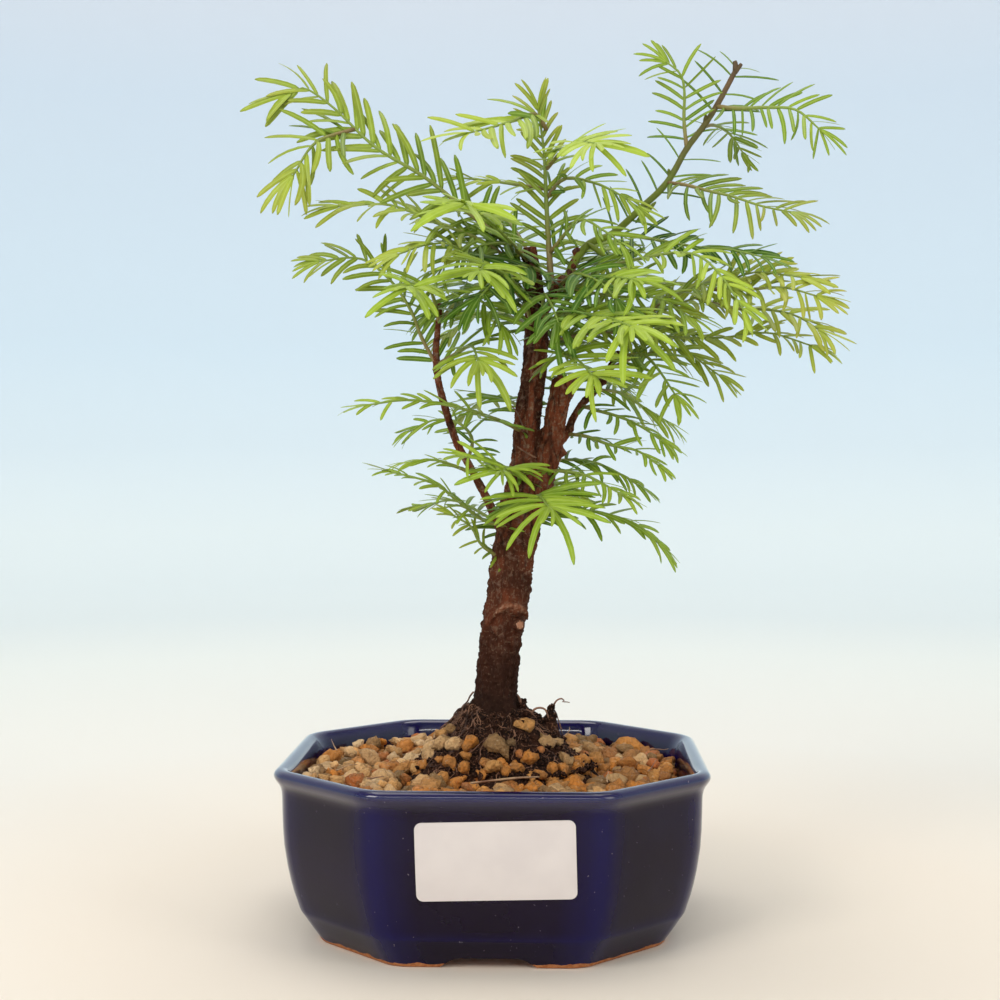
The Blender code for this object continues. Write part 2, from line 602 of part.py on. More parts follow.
def make_gravel(carrier, material):
    """A layer of pebbles, each a low hump on its own six-sided patch."""
    rng = random.Random(5)
    bm = bmesh.new()
    radius = PEBBLE_PITCH / math.sqrt(3)
    rows = int(PEBBLE_FIELD / (1.5 * radius)) + 1
    columns = int(PEBBLE_FIELD / PEBBLE_PITCH) + 1
    for row in range(-rows // 2, rows // 2 + 1):
        for column in range(-columns // 2, columns // 2 + 1):
            place = Matrix.Translation((
                (column + 0.5 * (row % 2)) * PEBBLE_PITCH, row * 1.5 * radius, GRAVEL_LEVEL))
            bmesh.ops.create_circle(bm, segments=6, radius=radius, cap_ends=True, matrix=place)
    bmesh.ops.remove_doubles(bm, verts=bm.verts, dist=0.05)
    bmesh.ops.recalc_face_normals(bm, faces=bm.faces)
    for vert in bm.verts:
        vert.co += Vector((rng.uniform(-PEBBLE_SHIFT, PEBBLE_SHIFT),
                           rng.uniform(-PEBBLE_SHIFT, PEBBLE_SHIFT),
                           rng.uniform(*PEBBLE_CORNER_DROP)))
    sides = bmesh.ops.extrude_face_region(bm, geom=bm.faces[:])["geom"]
    top = [item for item in sides if isinstance(item, bmesh.types.BMFace)]
    bottom = [face for face in bm.faces if face not in set(top) and len(face.verts) == 6]
    for vert in {vert for face in bottom for vert in face.verts}:
        vert.co.z = GRAVEL_BOTTOM - PEBBLE_DEPTH
    humps = bmesh.ops.poke(bm, faces=top)["verts"]
    for vert in humps:
        rise = PEBBLE_RISE + rng.uniform(-PEBBLE_RISE_SPREAD, PEBBLE_RISE_SPREAD)
        vert.co += Vector((rng.uniform(-PEBBLE_SHIFT, PEBBLE_SHIFT),
                           rng.uniform(-PEBBLE_SHIFT, PEBBLE_SHIFT), rise))
    ceiling = GRAVEL_LEVEL + 2 * PEBBLE_RISE
    bed = loft([
        octagon(inside_at(GRAVEL_BOTTOM) - GAP, GRAVEL_BOTTOM),
        octagon(inside_at(POT_INSIDE[1][0]) - GAP, POT_INSIDE[1][0]),
        octagon(inside_at(ceiling) - GAP, ceiling),
    ])
    filled = combine(bm, [bed], "INTERSECT", "MANIFOLD")
    hole = loft([
        mound_ring(z, 1.0, GAP + BED_ROOM) for z in (GRAVEL_BOTTOM - OVERRUN, ceiling + OVERRUN)
    ])
    add_piece("gravel", combine(filled, [hole], "DIFFERENCE", "MANIFOLD"), material, carrier)


def limb(rings, sides, rng):
    """A tapering stem whose rings stand square to it."""
    points = [Vector(ring[:3]) for ring in rings]
    radii = [ring[3] for ring in rings]
    across = None
    loops = []
    for index, point in enumerate(points):
        ahead = points[min(index + 1, len(points) - 1)]
        behind = points[max(index - 1, 0)]
        heading = (ahead - behind).normalized()
        if across is None:
            across = heading.orthogonal().normalized()
        across = (across - heading * across.dot(heading)).normalized()
        other = heading.cross(across)
        loop = []
        for side in range(sides):
            angle = 2 * math.pi * side / sides
            radius = radii[index] * (1 - rng.uniform(0, BARK_UNEVEN))
            loop.append(point + radius * (math.cos(angle) * across + math.sin(angle) * other))
        loops.append(loop)
    return loft(loops)


def make_wood(room, surfaces, carrier, material):
    rng = random.Random(3)
    limbs = [limb(rings, sides, rng) for rings, sides in LIMBS]
    wood = combine(limbs[0], limbs[1:], "UNION")
    surfaces.add(wood)
    add_piece("trunk", wood, material, carrier, math.radians(50))
    for rings, _ in LIMBS:
        for here, there in zip(rings, rings[1:]):
            room.take(here[:3], there[:3], max(here[3], there[3]), "trunk")


def seated_start(route, surfaces, radius):
    """How far along its route a stem begins, one gap away from what it grows from."""
    distance = min(SEAT_REACH, route.length / 2)
    while distance > SEAT_STEP:
        if base_clearance(route, distance - SEAT_STEP, surfaces, radius) < GAP:
            break
        distance -= SEAT_STEP
    return distance


def base_clearance(route, distance, surfaces, radius):
    """Free distance round the end face that a stem would have at this place."""
    middle = route.point(distance)
    heading = route.heading(distance)
    across = heading.orthogonal().normalized() * radius
    points = [middle] + [
        middle + Matrix.Rotation(turn * math.pi / 3, 3, heading) @ across for turn in range(6)
    ]
    return min(surfaces.distance(point) for point in points)


def make_leader(room, surfaces, carrier, material):
    rng = random.Random(4)
    route = Route.through([ring[:3] for ring in LEADER])
    start = seated_start(route, surfaces, LEADER[0][3])
    first = (*route.point(start), LEADER[0][3])
    rings = (first,) + LEADER[1:]
    stem = limb(rings, 6, rng)
    surfaces.add(stem)
    add_piece("leader", stem, material, carrier, math.radians(60))
    for here, there in zip(rings, rings[1:]):
        room.take(here[:3], there[:3], max(here[3], there[3]), "leader")


class Shoot:
    """One leafy shoot: its route, its slim core and the needles along both sides."""

    def __init__(self, name, points, face, needle_length, room, surfaces):
        self.name = name
        self.face = Vector(face).normalized()
        self.needle_length = needle_length
        whole = Route.through(points)
        self.route = whole.trimmed(seated_start(whole, surfaces, SHOOT_RADIUS[0]))
        self.stations = self.spread_stations()
        self.needles = {}
        bare = self.build()
        surfaces.add(bare)
        bare.free()
        steps = max(2, round(self.route.length / SHOOT_ROD))
        marks = [self.route.length * step / steps for step in range(steps + 1)]
        for low, high in zip(marks, marks[1:]):
            start, end = self.route.point(low), self.route.point(high)
            room.take(start, end, SHOOT_RADIUS[0], name)

    def spread_stations(self):
        usable = self.route.length - BARE_BASE - NEEDLE_ROOT
        count = max(2, round(usable / NEEDLE_SPACING))
        return [BARE_BASE + usable * index / count for index in range(count + 1)]

    def frame(self, distance):
        """Heading, side and upper side of the shoot at a distance along it."""
        heading = self.route.heading(distance)
        side = heading.cross(self.face).normalized()
        return heading, side, side.cross(heading)

    def radius(self, distance):
        return between(SHOOT_RADIUS[0], SHOOT_RADIUS[1], distance / self.route.length)

    def length_at(self, distance):
        """Needles are short at the base and tip of a shoot and full in its middle."""
        share = distance / self.route.length
        fill = math.sin(math.pi * min(1.0, share + NEEDLE_FULL_BEFORE))
        return self.needle_length * between(NEEDLE_SHORTEST, 1.0, fill)

    def plan_needles(self, room, rng):
        for station in self.stations:
            for hand in (1, -1):
                self.needles[station, hand] = self.place_needle(station, hand, room, rng)

    def place_needle(self, station, hand, room, rng):
        """Find a free direction for one needle, bending or shortening it if need be."""
        middle = station + NEEDLE_ROOT / 2
        heading, side, upper = self.frame(middle)
        share = middle / self.route.length
        angle = between(ANGLE_AT_BASE, ANGLE_AT_TIP, share ** ANGLE_CURVE)
        angle += rng.uniform(-ANGLE_SPREAD, ANGLE_SPREAD)
        lift = rng.uniform(0.0, LIFT_MOST)
        root = self.route.point(middle) + side * hand * self.radius(middle) * NEEDLE_SEAT
        full = self.length_at(middle) * rng.uniform(*NEEDLE_LENGTH_SPREAD)
        for size in SHORTENED:
            for dodge in DODGES:
                out = (side * hand * math.cos(lift + dodge) + upper * math.sin(lift + dodge))
                way = (heading * math.cos(angle) + out * math.sin(angle)).normalized()
                tip = root + way * full * size
                if self.is_free(root, tip, way, station, hand, room):
                    room.take(root + way, tip, NEEDLE_ROOM, self.owner(station, hand))
                    return way, full * size, root
        return None

    def owner(self, station, hand):
        return f"{self.name}/{self.stations.index(station)}/{hand}"

    def is_free(self, root, tip, way, station, hand, room):
        index = self.stations.index(station)
        near = {f"{self.name}/{index + step}/{hand}" for step in (-1, 1)}
        outside = room.clearance(root + way, tip, NEEDLE_ROOM, near | {self.name})
        own = room.clearance(root + way * NEEDLE_OWN_START, tip, NEEDLE_OWN_RADIUS)
        return outside >= GAP and own >= NEEDLE_OWN_GAP

    def build(self):
        """The core as a three-sided stem, with needles grown out of its upper sides."""
        bm = bmesh.new()
        marks = [0.0]
        for station in self.stations:
            marks += [station, station + NEEDLE_ROOT]
        rings = [self.add_ring(bm, mark) for mark in marks]
        bm.faces.new(list(reversed(rings[0])))
        for index, (lower, upper) in enumerate(zip(rings, rings[1:])):
            station = marks[index] if index % 2 == 1 else None
            self.add_sides(bm, lower, upper, station)
        self.add_end(bm, rings[-1])
        return bm

    def add_ring(self, bm, mark):
        """Three points, at the right edge, the ridge and the left edge of the shoot."""
        _, side, upper = self.frame(mark)
        middle = self.route.point(mark)
        radius = self.radius(mark)
        return [
            bm.verts.new(middle + side * radius * SHOOT_HALF_WIDTH - upper * radius * SHOOT_BELLY),
            bm.verts.new(middle + upper * radius),
            bm.verts.new(middle - side * radius * SHOOT_HALF_WIDTH - upper * radius * SHOOT_BELLY),
        ]

    def add_sides(self, bm, lower, upper, station):
        right, ridge, left = 0, 1, 2
        bm.faces.new((lower[left], lower[right], upper[right], upper[left]))
        planned = (self.needles.get((station, 1)), self.needles.get((station, -1)))
        if planned[0]:
            bm.faces.new((lower[ridge], upper[ridge], lower[right]))
            self.add_needle(bm, (lower[right], upper[ridge], upper[right]), planned[0])
        else:
            bm.faces.new((lower[right], lower[ridge], upper[ridge], upper[right]))
        if planned[1]:
            bm.faces.new((lower[left], upper[ridge], lower[ridge]))
            self.add_needle(bm, (lower[left], upper[left], upper[ridge]), planned[1])
        else:
            bm.faces.new((lower[ridge], lower[left], upper[left], upper[ridge]))

    def add_needle(self, bm, root, plan):
        """Join a triangle of the core to the small triangle at the needle's tip."""
        way, length, start = plan
        middle = sum((vert.co for vert in root), Vector()) / 3
        offsets = [vert.co - middle for vert in root]
        tip_middle = start + way * length
        ordered = self.tip_offsets(way, offsets)
        tip = [bm.verts.new(tip_middle + offset) for offset in ordered]
        for here in range(3):
            there = (here + 1) % 3
            bm.faces.new((root[here], root[there], tip[there], tip[here]))
        bm.faces.new(tip)

    def tip_offsets(self, way, offsets):
        """Match each root corner to a corner of the flat three-sided tip."""
        seen = [offset - way * offset.dot(way) for offset in offsets]
        longest = max(
            ((seen[b] - seen[a], a, b) for a, b in ((0, 1), (1, 2), (2, 0))),
            key=lambda entry: entry[0].length,
        )
        width_way = longest[0].normalized()
        ridge = 3 - longest[1] - longest[2]
        rise = way.cross(width_way)
        if rise.dot(seen[ridge]) < 0:
            rise = -rise
        tip = [None, None, None]
        tip[longest[1]] = -width_way * NEEDLE_TIP_WIDTH / 2 - rise * NEEDLE_THICKNESS / 3
        tip[longest[2]] = width_way * NEEDLE_TIP_WIDTH / 2 - rise * NEEDLE_THICKNESS / 3
        tip[ridge] = rise * NEEDLE_THICKNESS * 2 / 3
        return tip

    def add_end(self, bm, ring):
        """The last needle carries on straight from the shoot's end."""
        heading = self.route.heading(self.route.length)
        middle = sum((vert.co for vert in ring), Vector()) / 3
        far = middle + heading * self.needle_length * END_NEEDLE
        tip = [bm.verts.new(far + (vert.co - middle) * END_TAPER) for vert in ring]
        for here in range(3):
            there = (here + 1) % 3
            bm.faces.new((ring[here], ring[there], tip[there], tip[here]))
        bm.faces.new(tip)


def main():
    for old in list(bpy.data.objects):
        bpy.data.objects.remove(old)
    carrier = bpy.data.objects.new("plant_in_pot", None)
    bpy.context.scene.collection.objects.link(carrier)
    carrier.location = Vector(POT_PLACE) * MM
    materials = {name: add_material(name) for name in FINISHES}
    make_pot(carrier, materials["glaze"])
    for side, x in zip(("left", "right"), DRAIN_HOLES):
        make_drain_mesh(f"drain_mesh_{side}", x, carrier, materials["mesh"])
    make_label(carrier, materials["label"])
    make_soil(carrier, materials["soil"])
    make_gravel(carrier, materials["gravel"])
    room = Room()
    surfaces = Surfaces()
    make_wood(room, surfaces, carrier, materials["bark"])
    make_leader(room, surfaces, carrier, materials["shoot"])
    shoots = [Shoot(f"spray_{name}", points, face, length, room, surfaces)
              for name, points, face, length in SPRAYS]
    rng = random.Random(7)
    for shoot in shoots:
        shoot.plan_needles(room, rng)
    for shoot in shoots:
        add_piece(shoot.name, shoot.build(), materials["needle"], carrier)


main()
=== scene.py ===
# %% [markdown]
# # A dawn redwood bonsai in a glazed pot
#
# The real thing is a young tree about 30 cm tall, standing in a blue eight-sided pot
# with a bed of river gravel. The plain solids of the model fix where every part is.
# This script keeps those places and makes the surfaces: glaze, bark, peat, stones and
# some two thousand soft needles. Lengths are written in millimetres, measured from the
# middle of the pot's foot, and each mesh is turned into metres when it is finished.

# %% Load the fixed frame
import math
import random

import bmesh
import bpy
import numpy as np
from mathutils import Matrix, Vector, kdtree, noise


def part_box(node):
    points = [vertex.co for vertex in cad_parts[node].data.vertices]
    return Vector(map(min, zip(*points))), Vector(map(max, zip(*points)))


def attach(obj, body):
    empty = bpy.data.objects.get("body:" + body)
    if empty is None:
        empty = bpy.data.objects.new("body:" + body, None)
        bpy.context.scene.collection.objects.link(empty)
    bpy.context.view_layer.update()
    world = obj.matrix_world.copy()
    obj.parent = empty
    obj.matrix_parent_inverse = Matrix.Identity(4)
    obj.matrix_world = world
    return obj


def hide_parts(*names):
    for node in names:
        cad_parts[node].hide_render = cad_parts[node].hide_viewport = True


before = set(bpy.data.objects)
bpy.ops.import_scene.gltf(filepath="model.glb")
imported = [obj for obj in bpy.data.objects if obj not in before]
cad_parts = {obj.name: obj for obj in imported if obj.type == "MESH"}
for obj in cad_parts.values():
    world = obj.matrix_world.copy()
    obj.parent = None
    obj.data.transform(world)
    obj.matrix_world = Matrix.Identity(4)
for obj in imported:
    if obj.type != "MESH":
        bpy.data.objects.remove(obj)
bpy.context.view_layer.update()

pot_low, pot_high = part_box("pot")
MM = 0.001
POT_MIDDLE = Vector(((pot_low.x + pot_high.x) / 2, (pot_low.y + pot_high.y) / 2, 0.0))
POT_TO_FRAME = Matrix.Translation(POT_MIDDLE) @ Matrix.Scale(MM, 4)


def in_scene(name, data):
    """A new object, linked to the scene."""
    thing = bpy.data.objects.new(name, data)
    bpy.context.scene.collection.objects.link(thing)
    return thing


def finished(name, mesh, surfaces, stands_for=()):
    """Make an object of a mesh in millimetres, with its place in its mesh."""
    mesh.name = name
    mesh.transform(POT_TO_FRAME)
    for surface in surfaces:
        mesh.materials.append(surface.material)
    piece = in_scene(name, mesh)
    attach(piece, "root")
    if stands_for:
        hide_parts(*stands_for)
    print(f"{name}: {len(mesh.vertices)} points, {len(mesh.polygons)} faces")


def shaded(mesh, sharp_above=None):
    """Shade a mesh smooth, with the edges sharper than an angle left hard."""
    mesh.shade_smooth()
    if sharp_above is not None:
        mesh.set_sharp_from_angle(angle=math.radians(sharp_above))
    return mesh


def mesh_of(bm, sharp_above=None):
    """Turn a bmesh into a shaded mesh."""
    mesh = bpy.data.meshes.new("made")
    bm.to_mesh(mesh)
    bm.free()
    return shaded(mesh, sharp_above)


def evaluated_mesh(helper):
    """The mesh of a helper object with its modifiers applied. The helper is removed."""
    seen = helper.evaluated_get(bpy.context.evaluated_depsgraph_get())
    mesh = bpy.data.meshes.new_from_object(seen)
    bpy.data.objects.remove(helper)
    return mesh


def new_points(made):
    """The points among what an operator has just made."""
    return [item for item in made["geom"] if isinstance(item, bmesh.types.BMVert)]


def points_of(mesh):
    """The places of a mesh's points, one row each."""
    places = np.zeros(len(mesh.vertices) * 3)
    mesh.vertices.foreach_get("co", places)
    return places.reshape(-1, 3)


def paint(mesh, name, values):
    """Store one value or one colour for each point of a mesh, for a material to read."""
    kind, field = ("FLOAT", "value") if values.ndim == 1 else ("FLOAT_COLOR", "color")
    layer = mesh.attributes.new(name, kind, "POINT")
    layer.data.foreach_set(field, values.astype(np.float32).ravel())


def unit(value):
    """The value, kept between 0 and 1."""
    return min(1.0, max(0.0, value))


# %% [markdown]
# ## Two effects that the surfaces share
#
# Nothing on a living thing is one flat colour. Patches mix two tones of a surface at a
# chosen size, and grain is a fine relief that can be stretched along one direction.
# Each is a node group, built once, and the materials place it with their own numbers.

# %% Node groups


def add_node(tree, kind, inputs=None, **settings):
    """Add a node. Each of its inputs is a number, a colour or another node's output."""
    node = tree.nodes.new("ShaderNode" + kind)
    for name, setting in settings.items():
        setattr(node, name, setting)
    for label, value in (inputs or {}).items():
        socket = node.inputs[label]
        if isinstance(value, bpy.types.NodeSocket):
            tree.links.new(value, socket)
        else:
            socket.default_value = (*value, 1.0) if isinstance(value, tuple) else value
    return node


def new_group(name, numbers, result):
    """A new shader node group that takes coordinates and numbers and gives one value."""
    tree = bpy.data.node_groups.new(name, "ShaderNodeTree")
    tree.interface.new_socket(name="Coordinates", in_out="INPUT",
                              socket_type="NodeSocketVector")
    for label, start in numbers.items():
        socket = tree.interface.new_socket(name=label, in_out="INPUT",
                                           socket_type="NodeSocketFloat")
        socket.default_value = start
    tree.interface.new_socket(name=result, in_out="OUTPUT", socket_type="NodeSocketFloat")
    given = tree.nodes.new("NodeGroupInput").outputs
    return tree, given, tree.nodes.new("NodeGroupOutput").inputs[result]


def make_patches():
    """Soft patches: 0 outside them, 1 inside, with an edge as wide as Low to High."""
    tree, given, mask = new_group(
        "patches", {"Scale": 100.0, "Detail": 3.0, "Low": 0.4, "High": 0.6}, "Mask")
    cloud = add_node(tree, "TexNoise", {
        "Vector": given["Coordinates"], "Scale": given["Scale"], "Detail": given["Detail"]})
    span = add_node(tree, "MapRange", {
        "Value": cloud.outputs["Fac"], "From Min": given["Low"], "From Max": given["High"],
    }, interpolation_type="SMOOTHSTEP")
    tree.links.new(span.outputs["Result"], mask)
    return tree


def make_grain():
    """Rough relief: a cloudy part and a pitted part, pulled out along the height."""
    tree, given, height = new_group(
        "grain", {"Scale": 400.0, "Upright Stretch": 1.0, "Pits": 0.5}, "Height")
    shrink = add_node(tree, "Math", {0: 1.0, 1: given["Upright Stretch"]}, operation="DIVIDE")
    pull = add_node(tree, "CombineXYZ", {"X": 1.0, "Y": 1.0, "Z": shrink.outputs[0]})
    stretched = add_node(tree, "VectorMath", {
        0: given["Coordinates"], 1: pull.outputs["Vector"]}, operation="MULTIPLY")
    place = {"Vector": stretched.outputs["Vector"], "Scale": given["Scale"]}
    cloud = add_node(tree, "TexNoise", {**place, "Detail": 6.0})
    cells = add_node(tree, "TexVoronoi", place)
    blend = add_node(tree, "Mix", {
        "Factor": given["Pits"], "A": cloud.outputs["Fac"], "B": cells.outputs["Distance"]})
    tree.links.new(blend.outputs["Result"], height)
    return tree


PATCHES = make_patches()
GRAIN = make_grain()


class Surface:
    """A material that is being built. Its patterns read the piece's own coordinates."""

    def __init__(self, name, roughness, specular=0.5):
        self.material = bpy.data.materials.new(name)
        self.material.use_nodes = True
        self.tree = self.material.node_tree
        self.shader = self.tree.nodes["Principled BSDF"].inputs
        self.shader["Roughness"].default_value = roughness
        self.shader["Specular IOR Level"].default_value = specular
        self.where = self.add("TexCoord").outputs["Object"]

    def add(self, kind, inputs=None, **settings):
        return add_node(self.tree, kind, inputs, **settings)

    def patches(self, scale, low=0.4, high=0.6, detail=3.0):
        """Soft patches: 0 outside them, 1 inside."""
        return self.add("Group", {
            "Coordinates": self.where, "Scale": scale, "Detail": detail, "Low": low,
            "High": high}, node_tree=PATCHES).outputs[0]

    def grain(self, scale, pits, stretch=1.0):
        """Rough relief, pulled out along the height."""
        return self.add("Group", {
            "Coordinates": self.where, "Scale": scale, "Upright Stretch": stretch,
            "Pits": pits}, node_tree=GRAIN).outputs[0]

    def mix(self, mask, below, above):
        """Two colours, mixed by a mask."""
        return self.add("Mix", {0: mask, 6: below, 7: above}, data_type="RGBA").outputs[2]

    def between(self, mask, low, high):
        """A value that goes from low to high as the mask goes from 0 to 1."""
        return self.add("MapRange", {
            "Value": mask, "To Min": low, "To Max": high}).outputs["Result"]

    def height(self, low, high):
        """A value that goes from 0 to 1 as the height goes from low to high, in metres."""
        split = self.add("SeparateXYZ", {"Vector": self.where})
        return self.add("MapRange", {
            "Value": split.outputs["Z"], "From Min": low, "From Max": high,
        }).outputs["Result"]

    def math(self, operation, first, second):
        """Two values through one Math node, kept between 0 and 1."""
        return self.add("Math", {0: first, 1: second}, operation=operation,
                        use_clamp=True).outputs[0]

    def times(self, first, second):
        return self.math("MULTIPLY", first, second)

    def plus(self, first, second):
        return self.math("ADD", first, second)

    def read(self, name, field="Fac"):
        """What was painted on the mesh under a name."""
        return self.add("Attribute", attribute_name=name).outputs[field]

    def channels(self, name):
        """The red, green and blue values painted on the mesh under a name."""
        split = self.add("SeparateColor", {"Color": self.read(name, "Color")}).outputs
        return split["Red"], split["Green"], split["Blue"]

    def ramp(self, value, stops):
        """Colours along a value from 0 to 1."""
        node = self.add("ValToRGB", {"Fac": value})
        while len(node.color_ramp.elements) < len(stops):
            node.color_ramp.elements.new(0.5)
        for element, (place, colour) in zip(node.color_ramp.elements, stops):
            element.position = place
            element.color = (*colour, 1.0)
        return node.outputs["Color"]

    def give(self, label, value):
        """Let a value steer one input of the shader."""
        self.tree.links.new(value, self.shader[label])

    def roughness(self, mask, low, high):
        self.give("Roughness", self.between(mask, low, high))

    def bump(self, height, distance, strength=1.0):
        self.give("Normal", self.add("Bump", {
            "Distance": distance, "Strength": strength, "Height": height,
        }).outputs["Normal"])


def two_toned(name, roughness, patches, tones, roughnesses):
    """A surface in soft patches of two tones, each with its own roughness."""
    surface = Surface(name, roughness)
    mask = surface.patches(*patches)
    surface.give("Base Color", surface.mix(mask, *tones))
    surface.roughness(mask, *roughnesses)
    return surface


print("groups:", [tree.name for tree in bpy.data.node_groups])


# %% [markdown]
# ## Camera and studio
#
# The plant was seen from a little above the rim of its pot, from just over half a
# metre away, against a pale paper sweep. A sweep can be a bent plane, but a plane has
# a back: here a profile is spun into a wide bowl, so that the background is the same
# from every side. The paper is cream on the floor and turns pale blue as it rises.

# %% Camera
CAMERA_PLACE = POT_MIDDLE + Vector((21.5, -572.1, 160.7)) * MM
CAMERA_TURN = math.radians(1.98)
CAMERA_PITCH = math.radians(1.38)
camera_data = bpy.data.cameras.new("camera")
camera_data.lens = 58.9
camera_data.sensor_width = 36.0
camera = in_scene("camera", camera_data)
camera.location = CAMERA_PLACE
camera.rotation_euler = (math.pi / 2 - CAMERA_PITCH, 0.0, CAMERA_TURN)
bpy.context.scene.camera = camera
print("camera at", [round(value, 3) for value in CAMERA_PLACE])

# %% Paper sweep
# Radius and height in metres
SWEEP_PROFILE = (
    (0.0, 0.0), (1.15, 0.0), (1.30, 0.02), (1.42, 0.08), (1.52, 0.18), (1.58, 0.32),
    (1.60, 0.5), (1.60, 2.0),
)
# The paper lies this far below the pot, so that no two faces share one plane
FLOOR_GAP = 0.0002
sweep_bm = bmesh.new()
line = [sweep_bm.verts.new((radius, 0.0, height)) for radius, height in SWEEP_PROFILE]
edges = [sweep_bm.edges.new(pair) for pair in zip(line, line[1:])]
bmesh.ops.spin(sweep_bm, geom=line + edges, cent=(0, 0, 0), axis=(0, 0, 1),
               angle=2 * math.pi, steps=96, use_merge=True)
bmesh.ops.remove_doubles(sweep_bm, verts=sweep_bm.verts, dist=1e-5)
bmesh.ops.translate(sweep_bm, verts=sweep_bm.verts, vec=(0, 0, -FLOOR_GAP))
bmesh.ops.recalc_face_normals(sweep_bm, faces=sweep_bm.faces)
if sweep_bm.faces[0].normal.z < 0:
    bmesh.ops.reverse_faces(sweep_bm, faces=sweep_bm.faces)
sweep = in_scene("paper_sweep", mesh_of(sweep_bm))

paper = Surface("sweep_paper", 0.9)
outward = paper.add("VectorMath", {0: paper.where}, operation="LENGTH").outputs["Value"]
paper.give("Base Color", paper.ramp(paper.times(outward, 0.5), (
    (0.08, (0.87, 0.78, 0.67)), (0.19, (0.88, 0.855, 0.785)), (0.40, (0.91, 0.93, 0.87)),
    (0.71, (0.88, 0.95, 0.95)), (0.80, (0.73, 0.85, 0.94)), (0.86, (0.69, 0.785, 0.89)),
    (0.90, (0.75, 0.785, 0.86)),
)))
sweep.data.materials.append(paper.material)
print("sweep", len(sweep.data.polygons), "faces")

# %% Soft boxes and sky
WARM = (1.0, 0.96, 0.89)
WHITE = (1.0, 1.0, 1.0)
# Name, place, what it points at, width and height, power and colour, in metres and watts
SOFT_BOXES = (
    ("box_front_left", (-0.75, -0.95, 0.85), (0, 0, 0.14), (0.55, 0.55), 7.2, WARM),
    ("box_front_right", (0.95, -0.75, 0.70), (0, 0, 0.14), (0.45, 0.7), 2.6, WARM),
    ("box_above", (0.0, 0.15, 1.30), (0, 0, 0.1), (0.9, 0.9), 5.2, WARM),
    ("strip_front", (0.10, -1.25, 0.80), (0, 0, 0.08), (1.1, 0.035), 2.8, WARM),
    ("box_backdrop", (0.0, 0.50, 1.80), (0, 1.6, 0.55), (1.6, 0.6), 6.2, WHITE),
)
for name, place, target, size, power, colour in SOFT_BOXES:
    light = bpy.data.lights.new(name, "AREA")
    light.shape = "RECTANGLE"
    light.size, light.size_y = size
    light.energy = power
    light.color = colour
    box = in_scene(name, light)
    box.location = place
    box.rotation_euler = (Vector(target) - Vector(place)).to_track_quat("-Z", "Y").to_euler()
world = bpy.data.worlds.new("studio")
world.use_nodes = True
sky = world.node_tree.nodes["Background"].inputs
sky["Color"].default_value = (1.0, 0.98, 0.95, 1.0)
sky["Strength"].default_value = 0.36
bpy.context.scene.world = world
bpy.context.scene.view_settings.view_transform = "Standard"
print(len(bpy.data.lights), "soft boxes and an even sky")

# %% [markdown]
# ## The glazed pot
#
# The pot was pressed in a mould: a square plan with its corners cut off, walls that
# belly out and roll into a soft lip, and a foot with a gap in each side. One could
# model it as a stack of boxes, but the walls would meet in hard lines. Here a square
# has its corners bevelled twice, once to cut them and once to round them, and that
# outline is extruded up the outside, over the lip and down the inside.

# %% Pot outline and wall
# How much of a side of the square is cut off and rounded, as a share of its half
CORNER_CUT = 0.475
CORNER_EASE = 0.075
SIDE_CUTS = 6
# Height and half width
POT_OUTSIDE = (
    (0.0, 57.4), (0.5, 57.9), (1.3, 58.3), (3.5, 59.7), (6.0, 61.3), (8.5, 62.8), (9.7, 63.6),
    (10.6, 64.15), (11.6, 64.55), (13.5, 65.1), (17.0, 66.2), (21.0, 67.2), (26.0, 68.2),
    (33.0, 69.2), (39.0, 69.6), (45.0, 69.75), (48.5, 69.8), (50.5, 69.9), (52.0, 70.2),
    (53.3, 70.8), (54.4, 71.6), (55.3, 72.15), (56.2, 72.45), (57.0, 72.4), (57.7, 72.0),
    (58.25, 71.3), (58.6, 70.3),
)
POT_INSIDE = (
    (58.55, 69.3), (58.2, 68.5), (57.5, 67.75), (56.3, 67.1), (54.5, 66.4), (50.0, 65.5),
    (40.0, 64.0), (26.0, 61.8), (12.0, 59.5), (9.5, 58.2), (8.5, 56.0),
)


def wall_at(height, profile=POT_OUTSIDE):
    """Half width of the pot's outside at a height."""
    return float(np.interp(height, *zip(*profile)))


def inside_at(height):
    """Half width of the pot's inside at a height."""
    return wall_at(height, POT_INSIDE[::-1])


def in_octagon(x, y, half_width):
    """True inside a square of this half width with its corners cut off."""
    return (max(abs(x), abs(y)) < half_width
            and abs(x) + abs(y) < half_width * (2 - CORNER_CUT))


def eased_octagon(half_width, height):
    """A flat face: a square whose corners are cut off and then rounded."""
    bm = bmesh.new()
    square = Matrix.Rotation(math.pi / 4, 4, "Z")
    bmesh.ops.create_circle(bm, cap_ends=True, segments=4, radius=math.sqrt(2), matrix=square)
    for offset, segments in ((CORNER_CUT, 1), (CORNER_EASE, 5)):
        bmesh.ops.bevel(bm, geom=bm.verts[:], offset=offset, offset_type="OFFSET",
                        segments=segments, profile=0.5, affect="VERTICES", material=-1)
    straight = [edge for edge in bm.edges if edge.calc_length() > 0.2]
    bmesh.ops.subdivide_edges(bm, edges=straight, cuts=SIDE_CUTS)
    bmesh.ops.scale(bm, verts=bm.verts, vec=(half_width, half_width, 1.0))
    bmesh.ops.translate(bm, verts=bm.verts, vec=(0, 0, height))
    return bm


